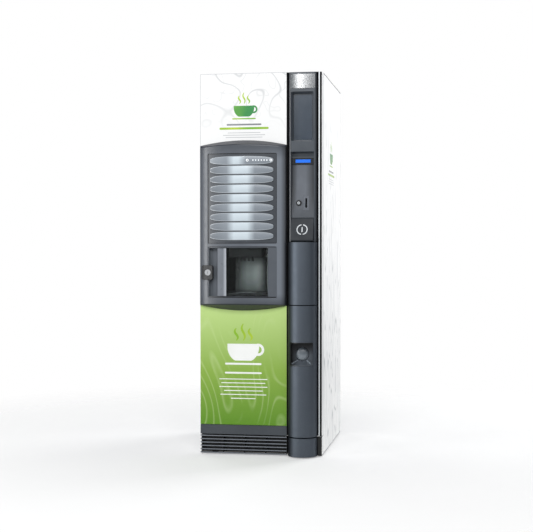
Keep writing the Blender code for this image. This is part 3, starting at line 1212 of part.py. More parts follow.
# ---------------------------------------------------------------- equipment inside the cabinet
def make_rack():
    """Folded shelf between the cabinet sides, and over it the canisters' bench with its mixing bowls."""
    profile = [(SHELF_FRONT, SHELF_Z - SHELF_LIP), (SHELF_FRONT + SHEET, SHELF_Z - SHELF_LIP),
               (SHELF_FRONT + SHEET, SHELF_Z - SHEET), (SHELF_BACK - SHEET, SHELF_Z - SHEET),
               (SHELF_BACK - SHEET, SHELF_Z - SHELF_LIP), (SHELF_BACK, SHELF_Z - SHELF_LIP), (SHELF_BACK, SHELF_Z),
               (SHELF_FRONT, SHELF_Z)]
    rack = show("equipment_rack", plate(profile, -INSIDE, INSIDE, "X"), ZINC_STEEL)
    side = INSIDE - 0.002
    inner = side - RACK_SHEET
    foot = SHELF_Z - SHEET / 2
    outline = [(-side, foot), (-inner, foot), (-inner, RACK_Z - RACK_SHEET), (inner, RACK_Z - RACK_SHEET),
               (inner, foot), (side, foot), (side, RACK_Z), (-side, RACK_Z)]
    join(rack, plate(outline, RACK_FRONT, RACK_BACK, "Y"))
    bowls = []
    rim = RACK_Z - RACK_SHEET / 2
    for index in range(CANISTER_COUNT):
        profile = [(0.0, rim), (BOWL_RADIUS, rim), (BOWL_RADIUS, RACK_Z - BOWL_DEPTH * 0.36),
                   (0.010, RACK_Z - BOWL_DEPTH * 0.68), (0.008, RACK_Z - BOWL_DEPTH), (0.0, RACK_Z - BOWL_DEPTH)]
        bowls.append(turned(profile, (canister_mid(index), CANISTER_FRONT + 0.036), 14))
    join(rack, merged(bowls))
    cut(rack, rod(THROAT + 0.004, (GRINDER_X, GRINDER_Y), RACK_Z - 0.01, RACK_Z + 0.01, segments=20))
    cut(rack, rod(CUP_TUBE_RADIUS + 0.004, (TURRET_X, TURRET_Y - TUBE_RING), RACK_Z - 0.01, RACK_Z + 0.01,
                  segments=24))


def canister_mid(index):
    return CANISTER_LEFT + CANISTER_WIDTH / 2 + index * (CANISTER_WIDTH + CANISTER_GAP)


def make_canisters():
    """Powder canisters: tapered box, lid with a rim, and an outlet spout at the front over its bowl."""
    for index in range(CANISTER_COUNT):
        mid = canister_mid(index)
        half = CANISTER_WIDTH / 2
        low = RACK_Z + CLEAR
        rings = []
        for z, inset in ((low, 0.006), (low + 0.030, 0.001), (low + CANISTER_HEIGHT - 0.020, 0.001)):
            ring = rounded(mid - half + inset, mid + half - inset, CANISTER_FRONT + inset,
                           CANISTER_FRONT + CANISTER_DEPTH - inset, 0.008, 2)
            rings.append([(x, y, z) for x, y in ring])
        canister = show("canister_%d" % (index + 1), loft(rings), POWDER_PLASTIC)
        lid = rounded(mid - half, mid + half, CANISTER_FRONT - 0.002, CANISTER_FRONT + CANISTER_DEPTH + 0.002,
                      0.009, 2)
        join(canister, plate(lid, low + CANISTER_HEIGHT - 0.021, low + CANISTER_HEIGHT))
        spout = rod(0.012, (mid, low + 0.040), CANISTER_FRONT - 0.022, CANISTER_FRONT + 0.01, "Y", 16)
        join(canister, spout)


def hopper_ring(z, share, inset):
    """The hopper's outline at one height, drawn in by a share of its width and an inset."""
    half_x = HOPPER_WIDTH / 2 * share - inset
    half_y = HOPPER_DEPTH / 2 * share - inset
    ring = rounded(GRINDER_X - half_x, GRINDER_X + half_x, GRINDER_Y - half_y, GRINDER_Y + half_y, 0.012 * share, 2)
    return [(x, y, z) for x, y in ring]


def make_bean_side():
    """Bean hopper over the grinder, and the brew unit under it."""
    shoulder = HOPPER_LOW + (HOPPER_HIGH - HOPPER_LOW) * 0.46
    neck = HOPPER_LOW + (HOPPER_HIGH - HOPPER_LOW) * 0.12
    levels = ((HOPPER_HIGH, 1.0), (shoulder, 1.0), (neck, HOPPER_NECK + 0.04), (HOPPER_LOW, HOPPER_NECK))
    hopper = show("bean_hopper", loft([hopper_ring(z, share, 0.0) for z, share in levels]), BEAN_PLASTIC)
    inside = ((HOPPER_HIGH + 0.01, 1.0),) + levels[1:3] + ((HOPPER_LOW - 0.01, HOPPER_NECK),)
    cut(hopper, loft([hopper_ring(z, share, HOPPER_WALL) for z, share in inside]))

    top = HOPPER_LOW - CLEAR
    low = RACK_Z + CLEAR
    wide, slim = GRINDER_RADIUS, GRINDER_RADIUS - 0.008
    profile = [(0.0, top), (slim, top), (wide, top - 0.012), (wide, top - 0.070), (slim, top - 0.082),
               (slim, low + 0.012), (wide, low + 0.010), (wide, low), (0.0, low)]
    grinder = show("coffee_grinder", turned(profile, (GRINDER_X, GRINDER_Y), 20), BLACK_PLASTIC)
    join(grinder, rod(THROAT, (GRINDER_X, GRINDER_Y), RACK_Z - 0.040, low + 0.005, segments=16))

    low = SHELF_Z + CLEAR
    left, right = GRINDER_X - BREW_HALF, GRINDER_X + BREW_HALF
    brew = show("brew_unit", block(left, right, BREW_FRONT, BREW_FRONT + BREW_DEPTH, low, low + BREW_HEIGHT),
                DARK_MOULDING)
    neck_top = low + BREW_HEIGHT + 0.062
    join(brew, rod(BREW_NECK, (GRINDER_X, GRINDER_Y), low + BREW_HEIGHT - 0.01, neck_top, segments=24))
    drum = (BREW_FRONT + BREW_DEPTH / 2, low + BREW_HEIGHT / 2)
    join(brew, rod(BREW_NECK + 0.004, drum, left - 0.012, right + 0.008, "X", 20))
    cut(brew, rod(BREW_NECK - 0.008, (GRINDER_X, GRINDER_Y), low + BREW_HEIGHT + 0.015, neck_top + 0.01, segments=20))
    cut(brew, block(left - 0.02, left + 0.02, BREW_FRONT - 0.02, BREW_FRONT + 0.045, low + 0.02, low + 0.055))


def make_boiler():
    """Upright pressure boiler on a skirt, with its two pipe stubs."""
    low = SHELF_Z + CLEAR
    high = low + BOILER_HEIGHT
    radius = BOILER_RADIUS
    profile = [(0.0, high), (radius * 0.45, high - 0.004), (radius * 0.85, high - 0.018), (radius, high - 0.040),
               (radius, low + 0.040), (radius * 0.85, low + 0.018), (radius * 0.6, low + 0.012), (radius * 0.6, low),
               (0.0, low)]
    boiler = show("boiler", turned(profile, (BOILER_X, BOILER_Y), 20), BRIGHT_STEEL)
    for side in (-1, 1):
        join(boiler, rod(0.007, (BOILER_X + side * 0.020, BOILER_Y), high - 0.02, high + 0.03, segments=12))


def make_turret():
    """Cup stacks in tubes that turn to the drop position: base plate, hub and open tubes."""
    low = RACK_Z + 0.006
    spin = pivot("turret_axis", (TURRET_X, TURRET_Y, low))
    body = show("cup_turret", rod(0.020, (TURRET_X, TURRET_Y), low - 0.0055, low + TURRET_HEIGHT - 0.02, segments=20),
                POWDER_PLASTIC, (TURRET_X, TURRET_Y, low), spin)
    join(body, rod(TURRET_RADIUS, (TURRET_X, TURRET_Y), low, low + 0.006, segments=28))
    tubes = []
    bores = []
    for index in range(TUBE_COUNT):
        angle = math.radians(-90 + 360 / TUBE_COUNT * index)
        x, y = TURRET_X + TUBE_RING * math.cos(angle), TURRET_Y + TUBE_RING * math.sin(angle)
        tubes.append(rod(CUP_TUBE_RADIUS + CUP_TUBE_WALL, (x, y), low + 0.001, low + TURRET_HEIGHT, segments=16))
        bores.append(rod(CUP_TUBE_RADIUS, (x, y), low - 0.01, low + TURRET_HEIGHT + 0.01, segments=16))
    join(body, merged(tubes))
    cut(body, merged(bores))


def bucket_ring(z, grow):
    right = BUCKET_LEFT + BUCKET_WIDTH
    back = BUCKET_FRONT + BUCKET_DEPTH
    ring = rounded(BUCKET_LEFT - grow, right + grow, BUCKET_FRONT - grow, back + grow, 0.030, 3)
    return [(x, y, z) for x, y in ring]


def make_low_equipment():
    """Waste bucket for spent grounds and the control box, on the base."""
    low = BASE_TOP + CLEAR
    rim = low + BUCKET_HEIGHT - 0.010
    bucket = show("waste_bucket", loft([bucket_ring(low, 0.0), bucket_ring(rim, BUCKET_FLARE),
                                        bucket_ring(rim + 0.001, BUCKET_FLARE + 0.005),
                                        bucket_ring(low + BUCKET_HEIGHT, BUCKET_FLARE + 0.005)]), DARK_MOULDING)
    cut(bucket, loft([bucket_ring(low + 0.003, -0.003),
                      bucket_ring(low + BUCKET_HEIGHT + 0.01, BUCKET_FLARE - 0.002)]))

    left = BOX_RIGHT - BOX_WIDTH
    front = BOX_BACK - BOX_DEPTH
    box = show("control_box", block(left, BOX_RIGHT, front, BOX_BACK, low, low + BOX_HEIGHT), ZINC_STEEL)
    fins = []
    for x in span(left + 0.020, BOX_RIGHT - 0.037, FIN_COUNT - 1):
        fins.append(block(x, x + 0.005, front - FIN_DEPTH, front + 0.005, low + BOX_HEIGHT / 3,
                          low + BOX_HEIGHT - 0.040))
    join(box, merged(fins))


# ---------------------------------------------------------------- build
def build_machine():
    make_cabinet()
    door = pivot("main_door_hinge", (HINGE_X, HINGE_Y, DOOR_BOTTOM))
    make_door_frame(door)
    make_front_panels(door)
    make_fascia(door)
    make_keys(door)
    make_bay(door)
    make_cup_door(door)
    make_niche(door)
    make_lock(door)
    make_carrier(door)
    make_head(door)
    make_payment(door)
    make_half_round_covers(door)
    make_coin_mechanism(door)
    make_rack()
    make_canisters()
    make_bean_side()
    make_boiler()
    make_turret()
    make_low_equipment()
    bpy.context.view_layer.update()


build_machine()
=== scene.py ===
"""Looks of a free-standing hot drinks machine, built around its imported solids.

Metres. The front faces -Y, +Z is up and the origin is on the floor under the middle.
A size that a solid has is read from the frame; the sizes that only the looks need are named here.
"""

import json
import math

import bmesh
import bpy
from mathutils import Matrix, Vector


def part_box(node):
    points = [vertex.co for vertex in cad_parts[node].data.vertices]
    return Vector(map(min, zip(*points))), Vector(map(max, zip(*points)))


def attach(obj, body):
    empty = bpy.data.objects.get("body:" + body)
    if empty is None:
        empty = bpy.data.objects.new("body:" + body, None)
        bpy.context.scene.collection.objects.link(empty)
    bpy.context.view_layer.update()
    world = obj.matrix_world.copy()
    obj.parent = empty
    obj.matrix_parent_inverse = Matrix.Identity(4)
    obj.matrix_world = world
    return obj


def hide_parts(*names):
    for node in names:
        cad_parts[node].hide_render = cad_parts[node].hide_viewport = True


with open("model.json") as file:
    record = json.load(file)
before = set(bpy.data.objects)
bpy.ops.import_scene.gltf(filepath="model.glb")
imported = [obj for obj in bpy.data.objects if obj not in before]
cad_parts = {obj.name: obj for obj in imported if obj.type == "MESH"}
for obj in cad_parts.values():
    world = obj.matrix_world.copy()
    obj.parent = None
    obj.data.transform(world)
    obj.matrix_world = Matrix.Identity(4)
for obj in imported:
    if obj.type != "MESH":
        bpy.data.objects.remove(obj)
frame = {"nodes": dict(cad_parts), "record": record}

NODES = frame["nodes"]
BODIES = frame["record"]["behaviour"]["bodies"]
BODY_OF = {node: body for body, members in BODIES.items() for node in members}
SLOT_OF = {part["node"]: part["material_slot"] for part in frame["record"]["subparts"]}
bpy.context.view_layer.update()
MM = 0.001


# ---------------------------------------------------------------- nodes
MIX_SHARE, MIX_FIRST, MIX_SECOND = 0, 6, 7      # the inputs of a Mix node that blends two colours


def linear(code):
    """An sRGB hex colour as the linear colour that a shader takes."""
    channels = [int(code[start:start + 2], 16) / 255 for start in (0, 2, 4)]
    curved = [c / 12.92 if c <= 0.04045 else ((c + 0.055) / 1.055) ** 2.4 for c in channels]
    return (*curved, 1.0)


def feed(node, inputs):
    """Sets inputs by name or number: each takes a value, a colour code, a node or one of a node's outputs."""
    for socket, value in inputs.items():
        if isinstance(value, bpy.types.Node):
            value = next(output for output in value.outputs if output.enabled)
        if isinstance(value, bpy.types.NodeSocket):
            node.id_data.links.new(value, node.inputs[socket])
        else:
            node.inputs[socket].default_value = linear(value) if isinstance(value, str) else value


def add(tree, kind, inputs=None, **settings):
    """One node with its settings and what feeds its inputs."""
    node = tree.nodes.new(kind)
    for name, value in settings.items():
        setattr(node, name, value)
    feed(node, inputs or {})
    return node


def surface(name, colour, roughness, metallic=0.0, **inputs):
    """A Principled material with even values, and what a pattern is built from: tree, shader and place."""
    material = bpy.data.materials.new(name)
    material.use_nodes = True
    tree = material.node_tree
    shader = tree.nodes["Principled BSDF"]
    feed(shader, {"Base Color": colour, "Roughness": roughness, "Metallic": metallic})
    feed(shader, {socket.replace("_", " "): value for socket, value in inputs.items()})
    return material, tree, shader, add(tree, "ShaderNodeTexCoord").outputs["Object"]


# ---------------------------------------------------------------- camera, floor and lights
CAMERA_AT = (1.004, -5.464, 0.9616)
CAMERA_TURN = 9.012         # degrees to the left of straight ahead
CAMERA_DROP = 0.62          # degrees below level
LENS = 73.87
SENSOR = 36.0
SHIFT_X = -0.0629
ROOM_GREY = "64686C"
GLOSS_SHARE = 0.12          # how much of the white backdrop shows in gloss and metal
FLOOR_HALF = 9.0
FLOOR_COLOUR = "D2D2D2"
FLOOR_DRIFT = "D6D6D6"
FLOOR_PATCH = 0.4
FLOOR_LIFT = 0.27           # brings the lit floor up to the backdrop's white
FLOOR_WHOLE = 0.75          # the floor fades into the backdrop between these distances from the middle
FLOOR_GONE = 2.6
LAMP_AIM = Vector((0.0, -0.2, 0.95))
# Each softbox: degrees from straight in front towards +X, degrees up, distance, width, height, watts
SOFTBOXES = {
    "left_strip": (-48, 6, 3.4, 1.0, 3.0, 52),      # the pale left flank and the gloss down the column
    "right_strip": (50, 6, 3.6, 0.3, 2.8, 4),       # a thin edge on the right of each moulding
    "front_top": (5, 38, 5.0, 3.0, 2.0, 165),       # the main light, from over the viewer
    "badge_card": (-11.2, 19, 5.2, 0.36, 0.5, 4.0),     # the bright patch in the brushed plate
    "right_rear": (140, 12, 5.0, 2.4, 3.6, 220),    # the right side and the back
    "left_rear": (-140, 25, 5.0, 2.4, 3.0, 60),
}


def in_scene(name, data):
    """A new object in the scene that shows the given camera, lamp or mesh."""
    thing = bpy.data.objects.new(name, data)
    bpy.context.scene.collection.objects.link(thing)
    return thing


def make_camera():
    camera = bpy.data.cameras.new("studio_camera")
    camera.lens = LENS
    camera.sensor_width = SENSOR
    camera.shift_x = SHIFT_X
    holder = in_scene("studio_camera", camera)
    holder.location = CAMERA_AT
    holder.rotation_euler = (math.radians(90 - CAMERA_DROP), 0.0, math.radians(CAMERA_TURN))
    bpy.context.scene.camera = holder


def make_softbox(name, azimuth, elevation, distance, width, height, power):
    """A rectangular lamp aimed at the machine."""
    lamp = bpy.data.lights.new(name, "AREA")
    lamp.shape = "RECTANGLE"
    lamp.size = width
    lamp.size_y = height
    lamp.energy = power
    holder = in_scene(name, lamp)
    turn, rise = math.radians(azimuth), math.radians(elevation)
    away = Vector((math.sin(turn) * math.cos(rise), -math.cos(turn) * math.cos(rise), math.sin(rise)))
    holder.location = LAMP_AIM + away * distance
    holder.rotation_euler = away.to_track_quat("Z", "Y").to_euler()


def make_world():
    """Even grey room light. The backdrop is white to the eye and through glass, and gloss shows part of it."""
    world = bpy.data.worlds.new("studio")
    bpy.context.scene.world = world
    world.use_nodes = True
    tree = world.node_tree
    path = add(tree, "ShaderNodeLightPath")
    seen = add(tree, "ShaderNodeMath", {0: path.outputs["Is Camera Ray"], 1: path.outputs["Is Transmission Ray"]},
               operation="MAXIMUM")
    gloss = add(tree, "ShaderNodeMath", {0: path.outputs["Is Glossy Ray"], 1: GLOSS_SHARE}, operation="MULTIPLY")
    share = add(tree, "ShaderNodeMath", {0: seen, 1: gloss}, operation="MAXIMUM")
    room = tree.nodes["Background"]
    feed(room, {"Color": ROOM_GREY})
    backdrop = add(tree, "ShaderNodeBackground", {"Color": "FFFFFF"})
    feed(tree.nodes["World Output"], {"Surface": add(tree, "ShaderNodeMixShader", {0: share, 1: room, 2: backdrop})})


def make_floor():
    """Pale painted floor that keeps the shadow and fades into the backdrop."""
    work = bmesh.new()
    bmesh.ops.create_grid(work, x_segments=1, y_segments=1, size=FLOOR_HALF)
    floor = in_scene("studio_floor", to_mesh(work, "studio_floor"))
    material, tree, shader, place = surface("pale_floor_paint", FLOOR_COLOUR, 0.9)
    patches = add(tree, "ShaderNodeTexNoise", {"Vector": place, "Scale": 1 / FLOOR_PATCH})
    feed(shader, {"Base Color": add(tree, "ShaderNodeMix", {MIX_SHARE: patches, MIX_FIRST: FLOOR_COLOUR,
                                                            MIX_SECOND: FLOOR_DRIFT}, data_type="RGBA")})
    lift = add(tree, "ShaderNodeEmission", {"Color": "FFFFFF", "Strength": FLOOR_LIFT})
    lifted = add(tree, "ShaderNodeAddShader", {0: shader, 1: lift})
    seen = add(tree, "ShaderNodeLightPath").outputs["Is Camera Ray"]
    shown = add(tree, "ShaderNodeMixShader", {0: seen, 1: shader, 2: lifted})
    away = add(tree, "ShaderNodeVectorMath", {0: place}, operation="LENGTH")
    gone = add(tree, "ShaderNodeMapRange", {"Value": away, "From Min": FLOOR_WHOLE, "From Max": FLOOR_GONE})
    clear = add(tree, "ShaderNodeBsdfTransparent")
    feed(tree.nodes["Material Output"], {"Surface": add(tree, "ShaderNodeMixShader", {0: gone, 1: shown, 2: clear})})
    floor.data.materials.append(material)


def make_studio():
    make_camera()
    make_world()
    make_floor()
    for name, setting in SOFTBOXES.items():
        make_softbox(name, *setting)
    bpy.context.scene.view_settings.view_transform = "Standard"


# ---------------------------------------------------------------- patterns
def along(tree, place, axis, start, end, at_start=0.0, at_end=1.0):
    """A value that goes evenly from one place on an axis to another and stays level past them."""
    where = add(tree, "ShaderNodeSeparateXYZ", {"Vector": place}).outputs[axis]
    return add(tree, "ShaderNodeMapRange", {"Value": where, "From Min": start, "From Max": end,
                                            "To Min": at_start, "To Max": at_end})


def mottle(tree, place, size, low=0.0, high=1.0, detail=2.0, spread=0.2):
    """A soft random tone from low to high, in patches about this many metres across."""
    patches = add(tree, "ShaderNodeTexNoise", {"Vector": place, "Scale": 1 / size, "Detail": detail})
    return add(tree, "ShaderNodeMapRange", {"Value": patches, "From Min": 0.5 - spread, "From Max": 0.5 + spread,
                                            "To Min": low, "To Max": high})


def drifting(tree, place, size, first, second, **patches):
    """Two colours that drift into each other, in patches about this many metres across."""
    return add(tree, "ShaderNodeMix", {MIX_SHARE: mottle(tree, place, size, **patches), MIX_FIRST: first,
                                       MIX_SECOND: second}, data_type="RGBA")


def relief(tree, shader, place, size, depth, detail=2.0):
    """Raises the surface by up to depth, in bumps about this many metres across."""
    bumps = add(tree, "ShaderNodeTexNoise", {"Vector": place, "Scale": 1 / size, "Detail": detail})
    feed(shader, {"Normal": add(tree, "ShaderNodeBump", {"Height": bumps, "Distance": depth})})


def painted_shading(tree, place, colour, shades):
    """Painted shade and highlights: a colour that turns to others along axes; each: axis, where full, where it ends,
    colour.
    """
    for axis, full, ends, shade in shades:
        share = along(tree, place, axis, full, ends, 1.0, 0.0)
        colour = add(tree, "ShaderNodeMix", {MIX_SHARE: share, MIX_FIRST: colour, MIX_SECOND: shade},
                     data_type="RGBA")
    return colour


def contour_lines(tree, place, size, count, width, stretch, warp=0.0):
    """1 on thin flowing lines, the level lines of a soft field, and 0 between them."""
    scaled = add(tree, "ShaderNodeMapping", {"Vector": place, "Scale": stretch})
    field = add(tree, "ShaderNodeTexNoise", {"Vector": scaled, "Scale": 1 / size, "Detail": 1.0, "Distortion": warp})
    levels = add(tree, "ShaderNodeMath", {0: field, 1: count}, operation="MULTIPLY")
    wave = add(tree, "ShaderNodeMath", {0: levels, 1: 0.5}, operation="PINGPONG")
    return add(tree, "ShaderNodeMapRange", {"Value": wave, "From Min": 0.0, "From Max": width,
                                            "To Min": 1.0, "To Max": 0.0})


# ---------------------------------------------------------------- finishes
def moulded_abs(name, colour, roughness=0.36, coat=0.25, grain=0.9 * MM, depth=0.02 * MM, shades=(), specular=0.5):
    """Injection-moulded ABS with a spark-eroded grain: an even satin that breaks up a reflection.

    The grain is drawn about four times as coarse as the real one, so that it shows.
    """
    material, tree, shader, place = surface(name, colour, roughness, IOR=1.53, Coat_Weight=coat,
                                            Coat_Roughness=0.22, Specular_IOR_Level=specular)
    base = linear(colour)[:3]
    darker = (*[channel * 0.93 for channel in base], 1.0)
    lighter = (*[min(1.0, channel * 1.06) for channel in base], 1.0)
    clouded = drifting(tree, place, 60 * MM, darker, lighter)
    feed(shader, {"Base Color": painted_shading(tree, place, clouded, shades),
                  "Roughness": mottle(tree, place, 25 * MM, roughness - 0.04, roughness + 0.05, 4.0)})
    relief(tree, shader, place, grain, depth, 3.0)
    return material


def lacquered_abs(name, shades):
    """ABS under a metallic lacquer: broad soft reflections that run down the half-round covers.

    The flakes are drawn over ten times as coarse as the real ones, so that they show.
    """
    material, tree, shader, place = surface(name, "5B626B", 0.52, 0.95)
    flakes = drifting(tree, place, 0.8 * MM, "5B626B", "676E77")
    feed(shader, {"Base Color": painted_shading(tree, place, flakes, shades),
                  "Roughness": mottle(tree, place, 30 * MM, 0.49, 0.56, 3.0)})
    relief(tree, shader, place, 1.5 * MM, 0.01 * MM)
    return material


def powder_coat(name):
    """Polyester powder on folded steel: white, with a faint orange peel a few millimetres across."""
    material, tree, shader, place = surface(name, "F1F1F0", 0.34, IOR=1.5, Coat_Weight=0.2, Coat_Roughness=0.15)
    feed(shader, {"Base Color": drifting(tree, place, 180 * MM, "EDEDEC", "F1F1F0")})
    relief(tree, shader, place, 4 * MM, 0.05 * MM)
    return material


def printed_film(name, line_colour, strength, stretch, fade_from, fade_to, borders):
    """White vinyl film with faint flowing grey lines that fade in from one height to another.

    Each border: axis, the place past which the colour changes, on which side, and the colour there.
    """
    white = "F4F4F3"
    material, tree, shader, place = surface(name, white, 0.50, IOR=1.45, Coat_Weight=0.05, Coat_Roughness=0.3)
    broad = contour_lines(tree, place, 240 * MM, 9.0, 0.10, stretch)
    fine = contour_lines(tree, place, 110 * MM, 5.0, 0.07, stretch, warp=0.4)
    fainter = add(tree, "ShaderNodeMath", {0: fine, 1: 0.5}, operation="MULTIPLY")
    lines = add(tree, "ShaderNodeMath", {0: broad, 1: fainter}, operation="MAXIMUM")
    shown = add(tree, "ShaderNodeMath", {0: lines, 1: along(tree, place, 2, fade_from, fade_to)},
                operation="MULTIPLY")
    ink = add(tree, "ShaderNodeMath", {0: shown, 1: strength}, operation="MULTIPLY")
    colour = add(tree, "ShaderNodeMix", {MIX_SHARE: ink, MIX_FIRST: white, MIX_SECOND: line_colour},
                 data_type="RGBA")
    for axis, limit, beyond, edge_colour in borders:
        where = add(tree, "ShaderNodeSeparateXYZ", {"Vector": place}).outputs[axis]
        past = add(tree, "ShaderNodeMath", {0: where, 1: limit}, operation=beyond)
        colour = add(tree, "ShaderNodeMix", {MIX_SHARE: past, MIX_FIRST: colour, MIX_SECOND: edge_colour},
                     data_type="RGBA")
    feed(shader, {"Base Color": colour})
    relief(tree, shader, place, 6 * MM, 0.03 * MM)
    return material


def green_film(name, low, high):
    """Glossy printed film: green, darker towards the floor, with soft pale sweeping lines."""
    material, tree, shader, place = surface(name, "9CC45A", 0.30, IOR=1.5, Coat_Weight=0.3, Coat_Roughness=0.12)
    ramp = add(tree, "ShaderNodeValToRGB", {0: along(tree, place, 2, low, high)})
    stops = ramp.color_ramp.elements
    stops[0].color = linear("5C8E16")
    stops[1].position = 0.92
    stops[1].color = linear("BFDB88")
    stops.new(0.45).color = linear("8FB34C")
    sweep = contour_lines(tree, place, 420 * MM, 16.0, 0.16, (1.6, 1.0, 0.7), warp=0.15)
    shown = add(tree, "ShaderNodeMath", {0: sweep, 1: mottle(tree, place, 200 * MM, spread=0.1)},
                operation="MULTIPLY")
    ink = add(tree, "ShaderNodeMath", {0: shown, 1: 0.30}, operation="MULTIPLY")
    feed(shader, {"Base Color": add(tree, "ShaderNodeMix", {MIX_SHARE: ink, MIX_FIRST: ramp, MIX_SECOND: "D3E6A8"},
                                    data_type="RGBA")})
    relief(tree, shader, place, 6 * MM, 0.03 * MM)
    return material


def brushed_metal(name, colour, roughness, metallic=1.0, shades=()):
    """Metal brushed or drawn upright: fine lines that stretch its reflections across them.

    The lines are drawn a few times as coarse as the real ones, so that they show.
    """
    material, tree, shader, place = surface(name, colour, roughness, metallic)
    drawn = add(tree, "ShaderNodeMapping", {"Vector": place, "Scale": (1.0, 1.0, 0.02)})
    grain = add(tree, "ShaderNodeTexNoise", {"Vector": drawn, "Scale": 1 / (0.35 * MM)})
    tone = add(tree, "ShaderNodeMapRange", {"Value": grain, "From Min": 0.3, "From Max": 0.7})
    glint = add(tree, "ShaderNodeMix", {MIX_SHARE: tone, MIX_FIRST: colour, MIX_SECOND: "FFFFFF"},
                data_type="RGBA")
    streaked = add(tree, "ShaderNodeMix", {MIX_SHARE: 0.25, MIX_FIRST: colour, MIX_SECOND: glint},
                   data_type="RGBA")
    feed(shader, {"Base Color": painted_shading(tree, place, streaked, shades),
                  "Roughness": add(tree, "ShaderNodeMapRange", {
                      "Value": grain, "From Min": 0.3, "From Max": 0.7, "To Min": roughness - 0.08,
                      "To Max": roughness + 0.10}),
                  "Normal": add(tree, "ShaderNodeBump", {"Height": grain, "Distance": 0.01 * MM})})
    return material


def silver_print(name, lit_from, lit_to, shades=()):
    """Clear polycarbonate printed silver on its back and lit from behind between two places."""
    material, tree, shader, place = surface(name, "9AA1A8", 0.34, IOR=1.49, Coat_Weight=0.25, Coat_Roughness=0.25)
    rise = along(tree, place, 0, lit_from - KEY_LIGHT_SOFT, lit_from + KEY_LIGHT_SOFT)
    fall = along(tree, place, 0, lit_to - KEY_LIGHT_SOFT, lit_to + KEY_LIGHT_SOFT, 1.0, 0.0)
    lit = add(tree, "ShaderNodeMath", {0: rise, 1: fall}, operation="MULTIPLY")
    silver = painted_shading(tree, place, drifting(tree, place, 1.2 * MM, "848B93", "939AA2"), shades)
    feed(shader, {"Base Color": add(tree, "ShaderNodeMix", {MIX_SHARE: lit, MIX_FIRST: silver,
                                                            MIX_SECOND: "CFDAE1"}, data_type="RGBA")})
    return material


def printed_ink(name, first, second):
    """Screen-printed ink, a thin even layer whose tone drifts a little over the print."""
    material, tree, shader, place = surface(name, first, 0.35, IOR=1.5, Coat_Weight=0.2, Coat_Roughness=0.15)
    feed(shader, {"Base Color": drifting(tree, place, 120 * MM, first, second, detail=1.0, spread=0.15)})
    relief(tree, shader, place, 2 * MM, 0.01 * MM)
    return material


def clear_smoked(name):
    """Smoked acrylic sheet, clear enough to see the cup through it, with a few wiped smears."""
    material, tree, shader, place = surface(name, "D4DADA", 0.05, IOR=1.25, Transmission_Weight=1.0,
                                            Specular_IOR_Level=0.2)
    feed(shader, {"Roughness": mottle(tree, place, 40 * MM, 0.03, 0.10, 3.0)})
    return material


def lit_display(name):
    """Blue backlit display glass with a fine grid of dots."""
    material, tree, shader, place = surface(name, "1E5FD0", 0.12, IOR=1.5, Coat_Weight=0.5, Coat_Roughness=0.05,
                                            Emission_Strength=0.36)
    dots = add(tree, "ShaderNodeTexChecker", {"Vector": place, "Scale": 1 / (1.6 * MM)}).outputs["Fac"]
    fainter = add(tree, "ShaderNodeMath", {0: dots, 1: 0.35}, operation="MULTIPLY")
    glow = add(tree, "ShaderNodeMix", {MIX_SHARE: fainter, MIX_FIRST: "1F66D8", MIX_SECOND: "3C86F0"},
               data_type="RGBA")
    feed(shader, {"Base Color": glow, "Emission Color": glow})
    return material


def lit_white(name):
    """White translucent acetal lit from behind, a little brighter in places."""
    material, tree, shader, place = surface(name, "F2F5F6", 0.3, IOR=1.48, Emission_Strength=0.35)
    glow = drifting(tree, place, 3 * MM, "E9F0F4", "FFFFFF")
    feed(shader, {"Base Color": glow, "Emission Color": glow})
    return material


def zinc_plate(name):
    """Bright zinc plating on folded steel: cool, with a faint crystalline mottle."""
    material, tree, shader, place = surface(name, "B4B7BA", 0.42, 0.6)
    cells = add(tree, "ShaderNodeTexVoronoi", {"Vector": place, "Scale": 1 / (9 * MM)}).outputs["Color"]
    tone = add(tree, "ShaderNodeSeparateColor", {0: cells})
    feed(shader, {"Base Color": add(tree, "ShaderNodeMix", {MIX_SHARE: tone, MIX_FIRST: "A9ADB1",
                                                            MIX_SECOND: "C3C6C8"}, data_type="RGBA"),
                  "Roughness": add(tree, "ShaderNodeMapRange", {"Value": tone, "To Min": 0.34, "To Max": 0.5})})
    return material


# ---------------------------------------------------------------- this machine's finishes
ANTHRACITE = "61666E"
BORDER_GREY = "C4C6C8"
# painted shade in the groove round the key field
GROOVE_SHADE = "16181B"
SIDE_FILM_TOP = 1.9         # the lines on the side fade in downwards between these heights
SIDE_FILM_FOOT = 0.7
SIDE_STRETCH = (1.0, 2.2, 0.35)     # the side's lines run upright, like long grain
KEY_LIGHT_SOFT = 0.018      # how gradually the light behind a key begins
SIDES = {"left": (0, 0), "right": (0, 1), "front": (1, 0), "back": (1, 1), "foot": (2, 0), "top": (2, 1)}


def inside(node, side, distance):
    """The axis of one of a solid's sides, and the place this many millimetres inside that side."""
    axis, end = SIDES[side]
    return axis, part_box(node)[end][axis] + (-distance if end else distance) * MM


def painted_shades_in(node, *falls):
    """Painted shade and highlights inside a solid's sides; each: side, millimetres from it to where full and ends,
    colour.
    """
    return [(*inside(node, side, full), inside(node, side, ends)[1], colour) for side, full, ends, colour in falls]


def borders_on(node, *cuts):
    """Strips of another colour along a solid's sides; each: side, width in millimetres, colour there."""
    return [(*inside(node, side, width), "GREATER_THAN" if SIDES[side][1] else "LESS_THAN", colour)
            for side, width, colour in cuts]


